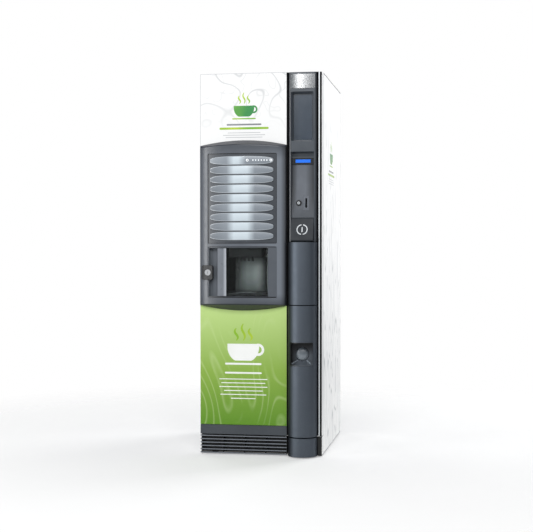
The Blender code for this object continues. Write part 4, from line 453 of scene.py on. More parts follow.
def cabinet_finishes():
    """Painted, printed and plated sheet, and what stands inside the cabinet."""
    panel_low, panel_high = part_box("lower_panel")
    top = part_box("upper_panel")[1].z
    front_borders = (borders_on("upper_panel", ("top", 2.5, BORDER_GREY))
                     + borders_on("lower_panel", ("left", 2.5, BORDER_GREY)))
    side_borders = borders_on("side_panel_right", ("top", 5, "2C2E30"), ("foot", 4, "A9ACAE"),
                              ("back", 5, "B9BBBD"), ("front", 5, "17181A"))
    return {
        # Folded steel of the body and the door: plain satin white
        "white_paint": powder_coat("powder_coated_steel"),
        # White film with pale grey flowing lines, strongest at the top of the front
        "front_film": printed_film("printed_film_front", "A9ABAE", 0.55, (1.0, 1.0, 1.0), top - 0.30, top - 0.08,
                                   front_borders),
        # The same film on the right, where its lines are long and upright, under a dark top edge
        "side_film": printed_film("printed_film_side", "9A9DA0", 0.80, SIDE_STRETCH, SIDE_FILM_TOP,
                                  SIDE_FILM_FOOT, side_borders),
        # And on the left, in a paler ink
        "side_film_left": printed_film("printed_film_left", "B4B7B9", 0.40, SIDE_STRETCH, SIDE_FILM_TOP,
                                       SIDE_FILM_FOOT, side_borders),
        # Glossy green below the fascia, deeper at the foot
        "green_print": green_film("green_printed_film", panel_low.z, panel_high.z),
        # Inner sheet: cool grey with a frosty mottle
        "zinc_steel": zinc_plate("zinc_plated_steel"),
        # Bright fittings: soft upright streaks of light
        "bright_steel": brushed_metal("brushed_stainless_steel", "C9CACB", 0.26),
        # The bright line beside the column, with painted shade on its outer edge
        "trim_aluminium": brushed_metal("anodised_aluminium", "EEF3F6", 0.45, 0.2,
                                        painted_shades_in("trim_strip", ("right", 0.4, 1.8, "1B1D20"))),
        # Column carrier: dull black, so that the trim reads as a line
        "carrier": moulded_abs("black_carrier_polyamide", "0B0C0E", 0.62, specular=0.2),
        # Fittings that should disappear: black with a weak sheen
        "black_plastic": moulded_abs("black_polyamide", "131416", 0.45, 0.1),
        # Boxes inside the door: dark grey satin
        "dark_moulding": moulded_abs("dark_grey_abs", "2A2D31", 0.42),
        # Powder canisters and cup tubes: milky and waxy
        "canister_plastic": moulded_abs("natural_polypropylene", "D9DCDD", 0.32, 0.1),
        # Bean hopper: brown and glossy
        "hopper_plastic": moulded_abs("smoked_san", "5A5048", 0.18, 0.6),
    }


def fascia_finishes():
    """The grey moulding in the door, its keys and the cup space."""
    key_low, key_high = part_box("selection_key_1")
    key_length = key_high.x - key_low.x
    lit_from = key_low.x + 0.33 * key_length
    niche_low, niche_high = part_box("cup_niche")
    niche_width = (niche_high.x - niche_low.x) / MM
    return {
        # The bowed face: grey satin, painted shade at its left end, under its brow and at its foot, a painted
        # highlight towards its right end and painted shade on its right rim
        "fascia": moulded_abs("anthracite_fascia_abs", ANTHRACITE, 0.34, 0.35, shades=painted_shades_in(
            "fascia", ("left", 30, 150, "50555D"), ("right", 30, 200, "7B818A"), ("top", 20, 95, "3F444B"),
            ("foot", 20, 80, "41464D"), ("right", 0, 24, "14171B"))),
        # The slanted crescents above and below it: the face's grey in painted shade, almost black, faintly blue
        "crescent": moulded_abs("crescent_painted_shade_abs", "1A1D2B", 0.38, 0.3),
        # The flat field behind the keys, with painted shade in the groove round its border
        "key_field": moulded_abs("dark_anthracite_abs", "42464C", 0.36, 0.3, shades=painted_shades_in(
            "key_panel", *[(side, 1.5, 3.5, GROOVE_SHADE) for side in ("left", "right", "foot", "top")])),
        # Keys: silver, with a pale band of light across their middle third and painted shade towards their left ends
        "key_plastic": silver_print("silver_printed_polycarbonate", lit_from, key_low.x + 0.66 * key_length,
                                    painted_shades_in("selection_key_1", ("left", 10, 80, "666D75"))),
        # The sugar bar: the same, with a shorter band
        "display_bar": silver_print("silver_printed_display_bar", lit_from, key_low.x + 0.52 * key_length),
        # The keys' glossy rims: a thin bright outline of painted highlight
        "key_rim": moulded_abs("clear_key_rim", "B4BBC1", 0.22, 0.8),
        # Small sugar keys and their row of lights: glowing white
        "lit_white": lit_white("backlit_white_acetal"),
        # Frame of the cup space: grey satin with painted shade along its top and its foot
        "surround": moulded_abs("anthracite_surround_abs", "5B6067", 0.34, 0.35, shades=painted_shades_in(
            "compartment_surround", ("foot", 2, 8, "15171A"), ("top", 1, 5, "22252A"))),
        # Grip of the cup door: paler grey, with a painted highlight along its right edge
        "grip": moulded_abs("light_anthracite_abs", "71767E", 0.30, 0.5,
                            shades=painted_shades_in("cup_door_grip", ("right", 2, 16, "B4B9C0"))),
        # Walls of the cup space: dull black, painted shade for the shadowed recess, so that the splash plate stands
        # out
        "niche": moulded_abs("niche_painted_shade_abs", "0C0E0E", 0.60, 0.0, specular=0.2),
        # Splash plate: a painted pool of light, pale grey-green in its middle, lost in painted shade towards its
        # ends
        "splash_plate": moulded_abs("splash_plate_painted_light", "E6EDEB", 0.24, 0.6, shades=painted_shades_in(
            "cup_niche", ("left", 0.27 * niche_width, 0.44 * niche_width, "070909"),
            ("right", 0.14 * niche_width, 0.40 * niche_width, "0E1110"), ("top", 40, 95, "2C3230"),
            ("foot", 10, 110, "4E5654"))),
        # Cup door: clear with a smoky cast
        "smoked_clear": clear_smoked("smoked_acrylic"),
        # Lock and cup ring: dull bright metal
        "lock_steel": brushed_metal("turned_nickel_plate", "B9BBBE", 0.45, 0.6),
    }


def column_finishes():
    """The right-hand column and the base."""
    return {
        # Half-round covers: a broad soft highlight on grey lacquer, and painted shade in black along the left edge
        "column": lacquered_abs("anthracite_lacquered_abs", painted_shades_in("column_middle", ("left", 1, 34, "07090B"))),
        # Head of the column: darker grey satin, with painted shade in black towards both edges
        "head": moulded_abs("dark_anthracite_abs_head", "454B52", 0.34, 0.4, shades=painted_shades_in(
            "column_middle", ("left", 3, 20, "0B0D0F"), ("right", 2, 12, "1A1D20"))),
        # The plate at the top: bright streaks between ends greyed by painted shade
        "bright_plate": brushed_metal("brushed_stainless_plate", "CECFD0", 0.26, shades=painted_shades_in(
            "bright_plate", ("left", 8, 40, "7E8183"), ("right", 8, 62, "8E9092"))),
        # The tall window under it: slate and glossy, with painted shade round its border
        "window_grey": moulded_abs("slate_polycarbonate", "3A4450", 0.22, 0.5, shades=painted_shades_in(
            "window_panel", ("left", 0, 9, "101316"), ("right", 0, 9, "101316"), ("top", 0, 12, "101316"),
            ("foot", 0, 7, "14181B"))),
        # Payment panel: grey satin, with painted shade at its sides and its foot
        "payment": moulded_abs("anthracite_payment_abs", ANTHRACITE, 0.34, 0.35, shades=painted_shades_in(
            "payment_panel", ("left", 4, 26, "2E3237"), ("right", 6, 42, "2A2E33"), ("foot", 20, 110, "474C53"))),
        # Round the display: gloss black, a bezel together with painted shade under the brow
        "bezel": moulded_abs("black_gloss_abs", "17191C", 0.22, 0.6),
        # The display: a bright blue line
        "display_blue": lit_display("backlit_display_glass"),
        # Coin entry and other plain mouldings: grey satin
        "grey_moulding": moulded_abs("anthracite_abs", ANTHRACITE, 0.34, 0.35),
        # The sloping coin plate: dull, with a coarse stipple
        "stippled": moulded_abs("stippled_abs", "2C3035", 0.75, 0.0, 2.2 * MM, 0.12 * MM),
        # The round coin return flap: knobbly, with a painted highlight at its foot
        "flap": moulded_abs("stippled_flap_abs", "626970", 0.40, 0.3, 3.5 * MM, 0.25 * MM,
                            painted_shades_in("coin_return_flap", ("foot", 0, 34, "A3ABB2"))),
        # The scoop round it: painted shade at its top and left, as if deep
        "scoop": moulded_abs("scoop_abs", "4A5057", 0.40, 0.2, shades=painted_shades_in(
            "coin_return_cup", ("top", 12, 60, "090B0D"), ("left", 6, 38, "0C0E11"))),
        # Its two lips: thin pale lines, their paleness a painted highlight
        "scoop_lip": moulded_abs("scoop_lip_abs", "7D868E", 0.34, 0.4),
        # Band over the slats: dark grey satin
        "band": moulded_abs("band_abs", "3F444A", 0.40, 0.2),
        # Noses of the slats in the kick panel: pale lines of painted highlight on black painted shade
        "slat": moulded_abs("slat_anthracite_abs", "71767E", 0.30, 0.5),
    }


def print_finishes():
    """Inks of the pictograms and bars, each drifting between two tones."""
    return {
        # Deep green to leaf green, for the green cups
        "decal_dark_green": printed_ink("dark_green_ink", "2F8A45", "6FB03A"),
        # Lime to yellow green, for steam and saucers
        "decal_lime": printed_ink("lime_ink", "7DB52F", "B5CF3C"),
        # Mid grey, for title bars
        "decal_grey": printed_ink("grey_ink", "84878A", "8E9194"),
        # Pale grey, for small bars that read as faint lines
        "decal_pale_grey": printed_ink("pale_grey_ink", "B9BBBD", "C3C5C7"),
        # Bright white on the green film
        "decal_white": printed_ink("white_ink", "F3F6EE", "FCFDFA"),
        # Soft silver on the dark coin plate
        "symbol": printed_ink("silver_ink", "B9BEC2", "C6CBCF"),
    }


# ---------------------------------------------------------------- meshes and pieces
SLOTTED = {"rear_panel", "drip_grille", "control_box"}     # sheets with too many holes for one whole face
SAME_POINT = 0.005 * MM         # points closer than this are one, in a solid
SAME_CUT_POINT = 0.002 * MM     # and in a modelled piece
FLAT = math.radians(0.4)        # faces that meet flatter than this are one face
EDGE_FROM = math.radians(32)    # edges sharper than this are rounded
SHARP_FROM = math.radians(38)   # and those sharper than this are kept crisp in the shading
CRISP_FROM = math.radians(35)   # the same for a piece with no rounded edges


def to_mesh(work, name="shape"):
    mesh = bpy.data.meshes.new(name)
    work.to_mesh(mesh)
    work.free()
    return mesh


def as_piece(name, mesh, body, *materials):
    piece = in_scene(name, mesh)
    if not mesh.materials:
        for material in materials:
            mesh.materials.append(material)
    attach(piece, body)
    return piece


def altered(piece, kind, **settings):
    """One modifier with its settings."""
    modifier = piece.modifiers.new(kind.lower(), kind)
    for name, value in settings.items():
        setattr(modifier, name, value)
    return modifier


def baked(piece):
    """Applies a piece's modifiers, so that its mesh is the finished one."""
    bpy.context.view_layer.update()
    evaluated = piece.evaluated_get(bpy.context.evaluated_depsgraph_get())
    mesh = bpy.data.meshes.new_from_object(evaluated)
    piece.modifiers.clear()
    piece.data = mesh


def soften(piece, width):
    """Rounds the edges as moulding or folding leaves them, with flat faces shaded flat."""
    piece.data.shade_smooth()
    piece.data.set_sharp_from_angle(angle=SHARP_FROM)
    altered(piece, "BEVEL", width=width, segments=2, limit_method="ANGLE", angle_limit=EDGE_FROM,
            miter_outer="MITER_ARC")
    altered(piece, "WEIGHTED_NORMAL", keep_sharp=True)
    baked(piece)


def finished_node(node, materials, width, pick=None):
    """The solid's own shape with softened edges, in place of the solid.

    With several materials, "pick" gives the number of a face's material from its middle.
    """
    work = bmesh.new()
    work.from_mesh(NODES[node].data)
    bmesh.ops.remove_doubles(work, verts=work.verts, dist=SAME_POINT)
    if node not in SLOTTED:
        bmesh.ops.dissolve_limit(work, angle_limit=FLAT, verts=work.verts, edges=work.edges)
    if pick:
        for face in work.faces:
            face.material_index = pick(face.calc_center_median())
    piece = as_piece(node + "_finished", to_mesh(work, node), BODY_OF[node], *materials)
    soften(piece, width)
    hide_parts(node)


def piece_of(name, mesh, node, *materials, edge=0.4 * MM, replaces=True, carve=()):
    """A finished piece that rides with a node's body, cut by the given meshes and with softened edges."""
    piece = as_piece(name, mesh, BODY_OF[node], *materials)
    for cutter_mesh in carve:
        cutter = in_scene("cutter", cutter_mesh)
        altered(piece, "BOOLEAN", operation="DIFFERENCE", solver="EXACT", object=cutter)
        baked(piece)
        bpy.data.objects.remove(cutter, do_unlink=True)
    work = bmesh.new()
    work.from_mesh(piece.data)
    bmesh.ops.remove_doubles(work, verts=work.verts, dist=SAME_CUT_POINT)
    work.to_mesh(piece.data)
    work.free()
    if edge:
        soften(piece, edge)
    else:
        piece.data.shade_smooth()
        piece.data.set_sharp_from_angle(angle=CRISP_FROM)
    if replaces:
        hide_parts(node)


def repeated(name, points, radius, height, material, node, towards="front", sides=20, top_share=0.5):
    """Small round heads at the given points, facing the front or the back, made by one node tree."""
    path = bpy.data.meshes.new(name)
    path.from_pydata(points, [], [])
    piece = in_scene(name, path)
    tree = bpy.data.node_groups.new(name, "GeometryNodeTree")
    tree.interface.new_socket("Geometry", in_out="INPUT", socket_type="NodeSocketGeometry")
    sizes = {}
    for label, value in (("Radius", radius), ("Height", height), ("Top Share", top_share)):
        socket = tree.interface.new_socket(label, in_out="INPUT", socket_type="NodeSocketFloat")
        sizes[socket.identifier] = value
    tree.interface.new_socket("Geometry", in_out="OUTPUT", socket_type="NodeSocketGeometry")
    given = add(tree, "NodeGroupInput").outputs
    top = add(tree, "ShaderNodeMath", {0: given["Radius"], 1: given["Top Share"]}, operation="MULTIPLY")
    head = add(tree, "GeometryNodeMeshCone", {"Vertices": sides, "Side Segments": 1, "Radius Top": top,
                                              "Radius Bottom": given["Radius"], "Depth": given["Height"]})
    turn = (math.pi / 2 if towards == "front" else -math.pi / 2, 0, 0)
    placed = add(tree, "GeometryNodeInstanceOnPoints", {"Points": given["Geometry"], "Instance": head,
                                                       "Rotation": turn})
    real = add(tree, "GeometryNodeRealizeInstances", {"Geometry": placed})
    finish = add(tree, "GeometryNodeSetMaterial", {"Geometry": real, "Material": material})
    add(tree, "NodeGroupOutput", {"Geometry": finish})
    modifier = altered(piece, "NODES", node_group=tree)
    for identifier, value in sizes.items():
        modifier[identifier] = value
    baked(piece)
    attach(piece, BODY_OF[node])


# ---------------------------------------------------------------- outlines and skins
def span(start, end, steps):
    return [start + (end - start) * step / steps for step in range(steps + 1)]


def arc(centre, radius, start, end, steps):
    """Points on an arc in a plane, angles in degrees."""
    turns = [math.radians(angle) for angle in span(start, end, steps)]
    return [(centre[0] + radius * math.cos(turn), centre[1] + radius * math.sin(turn)) for turn in turns]


def rounded(x0, x1, z0, z1, radius, steps=6):
    """Outline of a rectangle with round corners."""
    points = arc((x1 - radius, z1 - radius), radius, 0, 90, steps)
    points += arc((x0 + radius, z1 - radius), radius, 90, 180, steps)
    points += arc((x0 + radius, z0 + radius), radius, 180, 270, steps)
    return points + arc((x1 - radius, z0 + radius), radius, 270, 360, steps)


def eased(line, radii):
    """An open line of (a, b) points with its corners turned into curves of the given radii."""
    result = []
    for index, (point, radius) in enumerate(zip(line, radii)):
        if not radius:
            result.append(point)
            continue
        corner = Vector(point)
        before, after = Vector(line[index - 1]) - corner, Vector(line[index + 1]) - corner
        first = corner + before.normalized() * min(radius, before.length * 0.48)
        last = corner + after.normalized() * min(radius, after.length * 0.48)
        for share in span(0.0, 1.0, 5):
            result.append(tuple(first.lerp(corner, share).lerp(corner.lerp(last, share), share)))
    return result


def walled(rings):
    """A closed mesh between two rings of points with the same count, flat at both ends."""
    work = bmesh.new()
    first, last = [[work.verts.new(point) for point in ring] for ring in rings]
    work.faces.new(first)
    work.faces.new(reversed(last))
    for index in range(len(first)):
        after = (index + 1) % len(first)
        work.faces.new((first[index], last[index], last[after], first[after]))
    bmesh.ops.recalc_face_normals(work, faces=work.faces)
    return to_mesh(work)


def prism(outline, low, high):
    """An outline of (x, y) points given thickness upwards."""
    return walled([[(x, y, z) for x, y in outline] for z in (low, high)])


def cutter_through(outline, low, high):
    """An outline of (x, z) points in the door's plane given thickness from front to back."""
    return walled([[(x, y, z) for x, z in outline] for y in (low, high)])


def loft(sections, closed=True, caps=True):
    """Skin through lines of points with the same count; closed lines are rings."""
    work = bmesh.new()
    lines = [[work.verts.new(point) for point in line] for line in sections]
    count = len(lines[0])
    for first, second in zip(lines, lines[1:]):
        for index in range(count if closed else count - 1):
            after = (index + 1) % count
            work.faces.new((first[index], first[after], second[after], second[index]))
    if caps:
        work.faces.new(lines[0])
        work.faces.new(reversed(lines[-1]))
    bmesh.ops.recalc_face_normals(work, faces=work.faces)
    return to_mesh(work)


def rod(radius, centre, low, high, back_radius=None):
    """A cylinder or cone from front to back; centre is its x and z."""
    work = bmesh.new()
    place = Matrix.Translation((centre[0], (low + high) / 2, centre[1]))
    bmesh.ops.create_cone(work, cap_ends=True, segments=40, radius1=radius,
                          radius2=radius if back_radius is None else back_radius, depth=high - low,
                          matrix=place @ Matrix.Rotation(math.radians(-90), 4, "X"))
    return to_mesh(work)


def merged(meshes):
    work = bmesh.new()
    for mesh in meshes:
        work.from_mesh(mesh)
        bpy.data.meshes.remove(mesh)
    return to_mesh(work)


# ---------------------------------------------------------------- fascia and keys
FASCIA_LOW, FASCIA_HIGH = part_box("fascia")
FIELD_LOW, FIELD_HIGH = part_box("key_panel")
BAY_LOW, BAY_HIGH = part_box("compartment_surround")
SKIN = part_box("upper_panel")[0].y           # plane of the flat front panels
CLEAR = SKIN - 0.08         # well in front of everything on the door
PAST = 0.01                 # a cutter reaches this far past what it cuts
MID = (FASCIA_LOW.x + FASCIA_HIGH.x) / 2
HALF = (FASCIA_HIGH.x - FASCIA_LOW.x) / 2
EDGE_OUT = 0.015            # how far the face stands out near its ends
CROWN = 0.030               # and how much more in the middle
END_ROUND = 0.040
END_SHARE = 0.35            # the face starts at this share of its full reach at each end
TOP_ARCH = 0.0245
BOTTOM_ARCH = 0.025
FACE_TOP = 1.4725
FACE_TOP_ARCH = 0.010
FACE_BOTTOM = 0.7185
FACE_BOTTOM_ARCH = 0.0045
RIM = 0.0008                # depth of the straight rim that meets the flat panels
RIM_EASE = 0.0012
FACE_EASE = 0.0045
SLANT = 0.25                # a face whose normal rises or falls more than this is part of a crescent
FASCIA_WALL = 0.0025
FIELD_INSET = 0.0035        # the key panel lies this far behind the face
WALL = 0.003                # wall of the other mouldings
GAP = 0.0006                # clearance round a part that is let into another
FIELD_CORNER = 0.006
BAY_CORNER = 0.008
LOCK_CORNER = 0.010
KEY_COUNT = 8
KEY_STEPS = 28
KEY_EDGE = 0.0024           # width of the polished rim round a key, or a share of its half height if less
KEY_EDGE_SHARE = 0.4
KEY_EDGE_DROP = 0.0001
KEY_CROWN = 0.0018
KEY_TIP = 0.0009            # half height of a key at its very ends
LIGHT_COUNT = 6
LIGHT_PITCH = 0.0132
LIGHT_SHIFT = 0.004
LIGHT_RADIUS = 0.0034
LIGHT_HEIGHT = 0.0008
LIGHT_SINK = 0.0002
SUGAR_KEY_GAP = 0.0004
SUGAR_TAPER = 0.92          # a small key's face, its dimple and its dot, in shares of its radius
SUGAR_DIMPLE = 0.43
SUGAR_DOT = 0.40
SUGAR_DIMPLE_DEPTH = 0.0012
SUGAR_DOT_DEPTH = 0.0005    # the dot's face lies this far behind the key's


def bow(x):
    """1 in the middle of the fascia, 0 at its ends."""
    return 1.0 - ((x - MID) / HALF) ** 2


def face_y(x, inset=0.0):
    """The bowed face of the fascia at x, or a surface this far behind it."""
    out = EDGE_OUT + CROWN * bow(x)
    from_end = HALF - abs(x - MID)
    if from_end < END_ROUND:
        lean = 1.0 - from_end / END_ROUND
        out *= END_SHARE + (1.0 - END_SHARE) * math.sqrt(max(0.0, 1.0 - lean * lean))
    return SKIN - out + inset


def fascia_line(x):
    """Across the door at x: bottom edge, crescent, face, crescent, top edge, each corner eased."""
    low = FASCIA_LOW.z + BOTTOM_ARCH * (1.0 - bow(x))
    high = FASCIA_HIGH.z - TOP_ARCH * (1.0 - bow(x))
    face_low = max(FACE_BOTTOM + FACE_BOTTOM_ARCH * bow(x), low + RIM_EASE)
    face_high = min(FACE_TOP + FACE_TOP_ARCH * bow(x), high - RIM_EASE)
    back, rim, face = FASCIA_HIGH.y, SKIN - RIM, face_y(x)
    line = [(back, low), (rim, low), (face, face_low), (face, face_high), (rim, high), (back, high)]
    return [(x, y, z) for y, z in eased(line, (0, RIM_EASE, FACE_EASE, FACE_EASE, RIM_EASE, 0))]


def let_in(low, high, corner, behind):
    """A cutter for the opening that a part with round corners fits into."""
    return cutter_through(rounded(low.x - GAP, high.x + GAP, low.z - GAP, high.z + GAP, corner), CLEAR, behind)


def fascia_shell():
    """Bowed skin with closed ends, its slanted crescents given the second material."""
    ends = [END_ROUND * (1.0 - math.cos(math.radians(turn))) for turn in span(0.0, 90.0, 9)]
    left, right = FASCIA_LOW.x, FASCIA_HIGH.x
    stations = [left + end for end in ends] + span(left + END_ROUND, right - END_ROUND, 40)[1:-1]
    stations += [right - end for end in reversed(ends)]
    work = bmesh.new()
    work.from_mesh(loft([fascia_line(x) for x in stations], closed=False, caps=False))
    work.verts.ensure_lookup_table()
    for face in work.faces:
        slanted = abs(face.normal.z) > SLANT and face.calc_center_median().y < SKIN - RIM_EASE
        face.material_index = 1 if slanted else 0
    count = len(fascia_line(MID))
    last = (len(stations) - 1) * count
    work.faces.new([work.verts[index] for index in range(count)])
    work.faces.new([work.verts[last + index] for index in reversed(range(count))])
    bmesh.ops.recalc_face_normals(work, faces=work.faces)
    if work.faces[len(work.faces) // 2].normal.y > 0:
        bmesh.ops.reverse_faces(work, faces=work.faces)
    return to_mesh(work)


def make_fascia(finishes):
    """Bowed moulding with round ends and an arched crescent in painted shade above and below its face."""
    grey, dark = finishes["fascia"], finishes["crescent"]
    skin = as_piece("fascia_moulding", fascia_shell(), BODY_OF["fascia"], grey, dark)
    altered(skin, "SOLIDIFY", thickness=FASCIA_WALL, offset=-1.0, use_even_offset=False)
    baked(skin)
    mesh = skin.data
    bpy.data.objects.remove(skin)
    behind = FASCIA_HIGH.y + PAST
    openings = (let_in(FIELD_LOW, FIELD_HIGH, FIELD_CORNER, behind), let_in(BAY_LOW, BAY_HIGH, BAY_CORNER, behind),
                let_in(*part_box("lock_housing"), LOCK_CORNER, SKIN - GAP))
    piece_of("fascia_moulding", mesh, "fascia", grey, dark, edge=0.35 * MM, carve=openings)


def key_half(share, half_height):
    """Half height of a key at a place from -1 to 1 along it: a lens with blunt ends."""
    return max(half_height * max(0.0, 1.0 - abs(share) ** 3) ** (1 / 3), KEY_TIP)


def key_shares():
    """Places along a key, closer together towards its ends."""
    return [math.sin(turn) for turn in span(-math.pi / 2, math.pi / 2, 2 * KEY_STEPS)]


def key_outline(low, high, grow):
    """A key's outline in the door's plane, made larger by a clearance."""
    middle, half = (low + high) / 2, (high - low) / 2
    line = [(middle.x + (half.x + grow) * share, key_half(share, half.z) + grow) for share in key_shares()]
    return [(x, middle.z - rise) for x, rise in line] + [(x, middle.z + rise) for x, rise in reversed(line)]


def key_mesh(low, high):
    """A lens-shaped key: bowed along the fascia, crowned across, with a narrow rim."""
    middle, half = (low + high) / 2, (high - low) / 2
    sections = []
    for share in key_shares():
        x = middle.x + half.x * share
        rise = key_half(share, half.z)
        face = face_y(x)
        swell = KEY_CROWN * rise / half.z
        edge = min(KEY_EDGE, rise * KEY_EDGE_SHARE)
        ring = [(x, high.y, middle.z - rise), (x, face + KEY_EDGE_DROP, middle.z - rise)]
        for lift in span(-1.0, 1.0, 12):
            ring.append((x, face - swell * (1.0 - lift * lift), middle.z + (rise - edge) * lift))
        ring += [(x, face + KEY_EDGE_DROP, middle.z + rise), (x, high.y, middle.z + rise)]
        sections.append(ring)
    mesh = loft(sections)
    count = len(sections[0])
    for face in mesh.polygons:
        face.material_index = 1 if face.index % count in (1, count - 3) else 0
    return mesh


def make_keys(finishes):
    """Eight selection keys, and the fixed sugar bar with its two small keys and row of lights."""
    silver, rim = finishes["key_plastic"], finishes["key_rim"]
    keys = ["selection_key_%d" % index for index in range(1, KEY_COUNT + 1)]
    xs = span(FIELD_LOW.x, FIELD_HIGH.x, 48)
    panel = [(x, face_y(x, FIELD_INSET)) for x in xs] + [(x, face_y(x, FIELD_INSET + WALL)) for x in reversed(xs)]
    holes = [cutter_through(key_outline(*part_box(node), GAP), CLEAR, SKIN) for node in ["sugar_display"] + keys]
    piece_of("key_panel_moulding", prism(panel, FIELD_LOW.z, FIELD_HIGH.z), "key_panel", finishes["key_field"],
             edge=0.3 * MM, carve=[merged(holes)])
    for index, node in enumerate(keys, 1):
        piece_of("selection_bar_%d" % index, key_mesh(*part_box(node)), node, silver, rim, edge=0)
    small = {side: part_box("sugar_%s_key" % side) for side in ("minus", "plus")}
    holes = []
    for low, high in small.values():
        middle, half = (low + high) / 2, (high - low) / 2
        holes.append(rod(half.x + SUGAR_KEY_GAP, (middle.x, middle.z), low.y - PAST, high.y + PAST))
    piece_of("sugar_bar", key_mesh(*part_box("sugar_display")), "sugar_display", finishes["display_bar"], rim,
             edge=0, carve=holes)
    for side, (low, high) in small.items():
        make_sugar_key(side, low, high, finishes)
    first = (small["minus"][1].x + small["plus"][0].x) / 2 - LIGHT_PITCH * (LIGHT_COUNT - 1) / 2 + LIGHT_SHIFT
    z = (small["minus"][0].z + small["minus"][1].z) / 2
    xs = [first + index * LIGHT_PITCH for index in range(LIGHT_COUNT)]
    points = [(x, face_y(x) - KEY_CROWN + LIGHT_SINK, z) for x in xs]
    repeated("sugar_lights", points, LIGHT_RADIUS, LIGHT_HEIGHT, finishes["lit_white"], "sugar_display")


def make_sugar_key(side, low, high, finishes):
    """A small round key: a lit white cap, dimpled, with a black dot in the dimple."""
    node = "sugar_%s_key" % side
    centre, radius = ((low.x + high.x) / 2, (low.z + high.z) / 2), (high.x - low.x) / 2
    floor = low.y + SUGAR_DIMPLE_DEPTH
    cap = rod(radius * SUGAR_TAPER, centre, low.y, high.y, back_radius=radius)
    dimple = rod(radius * SUGAR_DIMPLE, centre, low.y - PAST, floor)
    piece_of("sugar_%s_cap" % side, cap, node, finishes["lit_white"], edge=0.5 * MM, carve=[dimple])
    dot = rod(radius * SUGAR_DOT, centre, low.y + SUGAR_DOT_DEPTH, floor)
    piece_of("sugar_%s_dot" % side, dot, node, finishes["black_plastic"], edge=0.1 * MM, replaces=False)


# ---------------------------------------------------------------- cup space
NICHE_LOW, NICHE_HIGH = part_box("cup_niche")
NICHE_MID = (NICHE_LOW.x + NICHE_HIGH.x) / 2
NICHE_HALF = (NICHE_HIGH.x - NICHE_LOW.x) / 2
NICHE_SPRING = SKIN + 0.055     # where its straight sides turn into the round back
NICHE_WALL = 0.0025
SPLASH_START = 54.0             # the splash plate covers the back wall between these angles
SPLASH_END = 150.0
SPLASH_OFF = 0.0003             # its distance from the wall
SPLASH_SHEET = 0.001
SPLASH_FOOT = 0.004             # it starts above the grille
SPLASH_HEAD = 0.018             # and ends above the foot of the spout
CUP_AT = (NICHE_MID, SKIN + 0.062)
CUP_RING = 0.050
CUP_RING_WIDTH = 0.0024
CUP_RING_FOOT = 0.0001
CUP_RING_TOP = 0.0020


def back_wall(inset):
    """Points along the round back of the cup space, from the splash plate's left edge to its right."""
    half = NICHE_HALF - inset
    deep = NICHE_HIGH.y - inset - NICHE_SPRING
    turns = [math.radians(turn) for turn in span(SPLASH_START, SPLASH_END, 32)]
    return [(NICHE_MID - half * math.cos(turn), NICHE_SPRING + deep * math.sin(turn) ** 0.8) for turn in turns]


def make_cup_space(finishes):
    """A splash plate on the back wall, pale with a painted pool of light, and the ring that shows where the cup
    goes.
    """
    grille_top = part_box("drip_grille")[1].z
    spout_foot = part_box("spout_block")[0].z
    sheet = back_wall(NICHE_WALL + SPLASH_OFF) + back_wall(NICHE_WALL + SPLASH_OFF + SPLASH_SHEET)[::-1]
    piece_of("splash_plate", prism(sheet, grille_top + SPLASH_FOOT, spout_foot + SPLASH_HEAD), "cup_niche",
             finishes["splash_plate"], edge=0.3 * MM, replaces=False)
    outer, inner = [arc(CUP_AT, radius, 0, 360, 48)[:-1] for radius in (CUP_RING, CUP_RING - CUP_RING_WIDTH)]
    foot, top = grille_top + CUP_RING_FOOT, grille_top + CUP_RING_TOP
    sections = [[(*out, foot), (*out, top), (*into, top), (*into, foot)] for out, into in zip(outer, inner)]
    piece_of("cup_ring", loft(sections + [sections[0]], caps=False), "drip_grille", finishes["lock_steel"],
             edge=0, replaces=False)


# ---------------------------------------------------------------- right-hand column and back
COLUMN_LOW, COLUMN_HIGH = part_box("column_middle")
COLUMN_MID = (COLUMN_LOW.x + COLUMN_HIGH.x) / 2
COLUMN_HALF = (COLUMN_HIGH.x - COLUMN_LOW.x) / 2
BULGE = SKIN - COLUMN_LOW.y
COVER_WALL = 0.003
COVER_EDGE = 0.8 * MM
LID_INSET = 0.0012
LID_DROP = 0.0004
LID_BACK = 0.001
SCOOP_CORNER = 0.004
SCOOP_BACK = SKIN - 0.010       # where a lip starts, just in front of the scoop's back
LIP_HEAD = 0.020                # half the distance between the lips' upper ends, and their lower ends
LIP_FOOT = 0.045
LIP_REACH = 0.036               # how far out the lower ends stand
LIP_RISE = 0.008                # and how far above the scoop's foot
LIP_UNDER = 0.001               # how far under the flap's foot they begin
LIP_HALF = 0.0045
LIP_CREST = 0.004
SCREW_RADIUS = 4.2 * MM
SCREW_HEAD = 1.8 * MM
SCREW_SIDE = 14 * MM            # distance of the back's screws from its sides, its foot and its top
SCREW_FOOT = 30 * MM
SCREW_TOP = 22 * MM
SCREW_STEPS = 5


def half_round(inset, back):
    """The column in plan: half an ellipse standing in front of the flat panels."""
    across, out = COLUMN_HALF - inset, BULGE - inset
    points = [(COLUMN_MID - across * math.cos(turn), SKIN - out * math.sin(turn)) for turn in span(0.0, math.pi, 56)]
    return [(COLUMN_MID - across, back)] + points + [(COLUMN_MID + across, back)]


def cover_mesh(low, high, back):
    return prism(half_round(0.0, back) + half_round(COVER_WALL, back)[::-1], low, high)


def lip_mesh(start, end):
    """A three-sided lip between two points in the column, its crest towards the front."""
    start, end = Vector(start), Vector(end)
    side = (end - start).normalized().cross(Vector((0, -1, 0))).normalized() * LIP_HALF
    crest = Vector((0.0, -LIP_CREST, LIP_CREST * 0.5))
    return loft([[point - side, point + crest, point + side] for point in (start, end)])


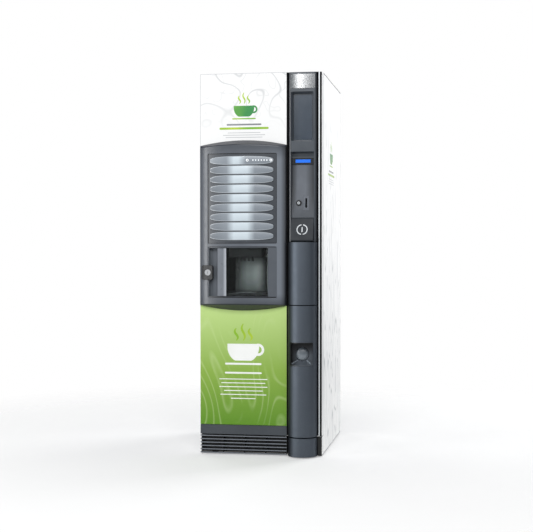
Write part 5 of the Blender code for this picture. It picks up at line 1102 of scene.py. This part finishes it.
def make_covers(finishes):
    """The two half-round covers; the upper one has a lid, the lower one the coin return opening."""
    lacquer = finishes["column"]
    low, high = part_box("column_middle")
    lid = prism(half_round(LID_INSET, high.y - LID_BACK), high.z - COVER_WALL, high.z - LID_DROP)
    piece_of("half_round_cover_upper", merged([cover_mesh(low.z, high.z, high.y), lid]), "column_middle",
             lacquer, edge=COVER_EDGE)
    low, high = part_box("column_lower")
    opening = let_in(*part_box("coin_return_cup"), SCOOP_CORNER, high.y + PAST)
    piece_of("half_round_cover_lower", cover_mesh(low.z, high.z, high.y), "column_lower", lacquer,
             edge=COVER_EDGE, carve=[opening])


def make_scoop_lips(finishes):
    """Two lips, pale with painted highlight, that run from under the round flap to the lower corners of its scoop.
    """
    low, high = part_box("coin_return_cup")
    middle, flap_foot = (low.x + high.x) / 2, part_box("coin_return_flap")[0].z
    for name, side in (("left", -1), ("right", 1)):
        mesh = lip_mesh((middle + side * LIP_HEAD, SCOOP_BACK, flap_foot - LIP_UNDER),
                        (middle + side * LIP_FOOT, SKIN - LIP_REACH, low.z + LIP_RISE))
        piece_of("scoop_lip_" + name, mesh, "coin_return_cup", finishes["scoop_lip"], edge=0.8 * MM,
                 replaces=False)


def make_screws(finishes):
    """Pan-head screws down both sides of the back sheet."""
    low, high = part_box("rear_panel")
    points = [(x, high.y - 0.1 * MM, z) for z in span(low.z + SCREW_FOOT, high.z - SCREW_TOP, SCREW_STEPS)
              for x in (low.x + SCREW_SIDE, high.x - SCREW_SIDE)]
    repeated("rear_screws", points, SCREW_RADIUS, SCREW_HEAD, finishes["zinc_steel"], "rear_panel",
             towards="back", sides=16, top_share=0.7)


# ---------------------------------------------------------------- printed decals
INK = 0.15 * MM             # how far a print stands in front of its panel
INK_OVER = 0.02 * MM        # and how much further each print over another one does
# A bar is its width, its height and how far its middle lies above the decal's
CUP = 0.100                 # the cup on the white panel and on the side, from rim to rim
CUP_SHIFT = 0.004
CUP_DROP = 0.165            # how far the decal's middle lies under the panel's top
TITLE_BAR = (0.170, 0.0080, -0.080)
GREEN_BAR = (0.240, 0.0105, -0.098)
SMALL_BARS = [(width, 0.0030, -0.119 - 0.0110 * row) for row, width in enumerate((0.160, 0.205, 0.180))]
SIDE_DECAL_Y = 0.01
SIDE_DECAL_Z = 1.455
PANEL_CUP = 0.155           # the cup on the green panel
PANEL_CUP_DROP = 0.200
PANEL_TITLE_BAR = (0.180, 0.0085, -0.124)
PANEL_BARS = [(width, 0.0040, -0.154 - 0.0185 * row)
              for row, width in enumerate((0.235, 0.215, 0.235, 0.190, 0.225, 0.120))]
COIN_FOOT_REACH = 0.030     # how far the sloping coin plate stands out at its foot and near its top
COIN_HEAD_REACH = 0.001
COIN_LIP = 0.005            # its slope ends this far under its top
COIN_FOOT = 0.006           # and starts this far over its foot
COIN_RING = 0.0245          # the coin symbol: a ring in two halves round an upright slot
COIN_RING_BORE = 0.0200
COIN_RING_SPLIT = 0.002
COIN_SLOT = (0.0024, 0.0125)
BUTTON_DISC = 0.0068
BUTTON_MARK = (0.0022, 0.0066, 0.0)


def front_place(mid_x, mid_z, plane):
    """Maps a decal's flat coordinates on to a front panel."""
    return lambda a, b, out: (mid_x + a, plane - out, mid_z + b)


def side_place(mid_y, mid_z, plane):
    """Maps a decal's flat coordinates on to the right-hand side."""
    return lambda a, b, out: (plane + out, mid_y + a, mid_z + b)


def print_on(name, node, ink, outlines, place, over=0.0):
    """Flat prints of the given outlines as one thin mesh, each on top of the one before."""
    layers = []
    for layer, outline in enumerate(outlines):
        levels = (over + INK_OVER, over + INK + layer * INK_OVER)
        layers.append(walled([[place(a, b, out) for a, b in outline] for out in levels]))
    piece_of(name, merged(layers), node, ink, edge=0, replaces=False)


def bar(width, height, rise):
    """A bar with round ends."""
    return rounded(-width / 2, width / 2, rise - height / 2, rise + height / 2, min(width, height) * 0.49, 4)


def wisp(mid_a, foot, height, width, sway):
    """One rising wisp of steam over a cup: a swaying line that tapers at both ends."""
    line = [Vector((mid_a + sway * math.sin(math.tau * share), foot + height * share))
            for share in span(0.0, 1.0, 16)]
    left, right = [], []
    for index, point in enumerate(line):
        along_line = (line[min(index + 1, len(line) - 1)] - line[max(index - 1, 0)]).normalized()
        share = min(max(index / (len(line) - 1), 0.06), 0.94)
        aside = Vector((-along_line.y, along_line.x)) * (width / 2 * math.sin(math.pi * share) ** 0.5)
        left.append(tuple(point + aside))
        right.append(tuple(point - aside))
    return left + right[::-1]


def pictogram(size):
    """A steaming cup on a saucer, in shares of the cup's width: its cup, its steam and its saucer."""
    bowl = [(a, max(b, -0.42 * size)) for a, b in arc((0.0, 0.0), 0.5 * size, 180, 360, 24)]
    cup = [(-0.5 * size, 0.10 * size)] + bowl + [(0.5 * size, 0.10 * size)]
    hold = (0.47 * size, -0.08 * size)
    handle = arc(hold, 0.19 * size, 105, -105, 16) + arc(hold, 0.11 * size, -105, 105, 16)
    steam = [wisp(shift * size, 0.20 * size, tall * size, 0.075 * size, 0.05 * size)
             for shift, tall in ((-0.22, 0.38), (0.0, 0.52), (0.22, 0.38))]
    return [cup, handle], steam, [bar(1.15 * size, 0.06 * size, -0.52 * size)]


def make_white_decals(finishes):
    """A green cup over plain bars, on the white panel and again on the side."""
    low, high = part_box("upper_panel")
    front = front_place((low.x + high.x) / 2 + CUP_SHIFT, high.z - CUP_DROP, low.y)
    side = side_place(SIDE_DECAL_Y, SIDE_DECAL_Z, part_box("side_panel_right")[1].x)
    cup, steam, saucer = pictogram(CUP)
    prints = {"cup": ("decal_dark_green", cup), "steam": ("decal_lime", steam + saucer),
              "title_bar": ("decal_grey", [bar(*TITLE_BAR)]), "green_bar": ("decal_lime", [bar(*GREEN_BAR)]),
              "small_bars": ("decal_pale_grey", [bar(*size) for size in SMALL_BARS])}
    for panel, node, place in (("front", "upper_panel", front), ("side", "side_panel_right", side)):
        for name, (ink, outlines) in prints.items():
            print_on("%s_%s" % (panel, name), node, finishes[ink], outlines, place)


def make_green_decals(finishes):
    """A white cup over white bars, on the green panel."""
    low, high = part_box("lower_panel")
    place = front_place((low.x + high.x) / 2, high.z - PANEL_CUP_DROP, low.y)
    white = finishes["decal_white"]
    cup, steam, saucer = pictogram(PANEL_CUP)
    print_on("panel_cup", "lower_panel", white, cup + saucer, place)
    print_on("panel_steam", "lower_panel", finishes["decal_lime"], steam, place)
    print_on("panel_title_bar", "lower_panel", white, [bar(*PANEL_TITLE_BAR)], place)
    print_on("panel_small_bars", "lower_panel", white, [bar(*size) for size in PANEL_BARS], place)


def make_coin_decals(finishes):
    """A disc with a mark on the coin return button, and a split ring round a slot on the coin plate."""
    low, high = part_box("coin_return_button")
    on_button = front_place((low.x + high.x) / 2, (low.z + high.z) / 2, low.y)
    disc = arc((0, 0), BUTTON_DISC, 0, 345, 23)
    print_on("button_disc", "coin_return_button", finishes["symbol"], [disc], on_button)
    print_on("button_mark", "coin_return_button", finishes["black_plastic"], [bar(*BUTTON_MARK)], on_button,
             over=INK)
    low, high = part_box("coin_plate")
    middle = (low + high) / 2
    lean = (COIN_FOOT_REACH - COIN_HEAD_REACH) / (high.z - low.z - COIN_LIP - COIN_FOOT)

    def on_plate(a, b, out):
        down = high.z - COIN_LIP - middle.z - b
        return (middle.x + a, SKIN - COIN_HEAD_REACH - lean * down - out, middle.z + b)

    halves = [arc((side * COIN_RING_SPLIT, 0.0), COIN_RING, start, end, 32)
              + arc((side * COIN_RING_SPLIT, 0.0), COIN_RING_BORE, end, start, 32)
              for side, start, end in ((-1, 95, 265), (1, -85, 85))]
    half_width, half_height = COIN_SLOT
    slot = rounded(-half_width, half_width, -half_height, half_height, half_width - 0.0001, 4)
    print_on("coin_symbol", "coin_plate", finishes["symbol"], halves + [slot], on_plate)


# ---------------------------------------------------------------- build
MODELLED = {"fascia", "key_panel", "sugar_display", "sugar_minus_key", "sugar_plus_key", "column_middle",
            "column_lower"} | {"selection_key_%d" % index for index in range(1, KEY_COUNT + 1)}
FINISH_OF = {               # solids that have a finish of their own; the others take their slot's
    "base_band": "band",
    "bright_plate": "bright_plate",
    "coin_entry": "grey_moulding",
    "coin_plate": "stippled",
    "coin_return_cup": "scoop",
    "coin_return_flap": "flap",
    "column_carrier": "carrier",
    "column_head": "head",
    "compartment_surround": "surround",
    "cup_door_grip": "grip",
    "cup_niche": "niche",
    "lock_cylinder": "lock_steel",
    "upper_panel": "front_film",
}
EDGE_OF = {"side_panel_left": 0.4 * MM, "side_panel_right": 0.4 * MM, "column_head": 1.0 * MM,
           "kick_panel": 0.6 * MM, "cup_door_grip": 1.2 * MM, "coin_plate": 2.4 * MM}
EDGE = 0.35 * MM            # edge radius of the other solids
# A slat's pale nose is a painted highlight, its black flanks painted shade
SLAT_NOSE = 0.003           # depth of a slat's pale nose in front of its dark flanks
FILM_SKIN = 0.4 * MM        # film covers what lies this close to the outside
# The gloss black round the display is a bezel and painted shade under the brow
BEZEL_REACH = 0.006         # gloss black starts this far under the display


def face_picks():
    """Solids with several finishes, and what chooses a face's finish from its middle."""
    side_low, side_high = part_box("side_panel_right")
    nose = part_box("base_band")[0].y + SLAT_NOSE
    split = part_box("upper_panel")[1].x
    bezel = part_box("display_glass")[0].z - BEZEL_REACH

    def side(at):
        """Black along the front edge, film on the outside, paint elsewhere."""
        if at.y < side_low.y + 1 * MM:
            return 2
        return 0 if abs(at.x) > side_high.x - FILM_SKIN else 1

    def kick(at):
        """Pale noses on black slats, a painted highlight on painted shade, and the column's lacquer where the column
        stands.
        """
        if at.x < split:
            return 0 if at.y < nose else 2
        return 1 if at.x < COLUMN_HIGH.x + 1 * MM else 2

    def payment(at):
        """Gloss black round the display, a bezel and painted shade under the brow, grey below it."""
        return 1 if at.z > bezel else 0

    return {"side_panel_left": (("side_film_left", "white_paint", "black_plastic"), side),
            "side_panel_right": (("side_film", "white_paint", "black_plastic"), side),
            "kick_panel": (("slat", "column", "black_plastic"), kick),
            "payment_panel": (("payment", "bezel"), payment)}


def make_machine():
    finishes = {**cabinet_finishes(), **fascia_finishes(), **column_finishes(), **print_finishes()}
    for make in (make_fascia, make_keys, make_cup_space, make_covers, make_scoop_lips, make_screws,
                 make_white_decals, make_green_decals, make_coin_decals):
        make(finishes)
    several = face_picks()
    for node in sorted(set(NODES) - MODELLED):
        names, pick = several.get(node, ((FINISH_OF.get(node, SLOT_OF[node]),), None))
        finished_node(node, [finishes[name] for name in names], EDGE_OF.get(node, EDGE), pick)


make_studio()
make_machine()
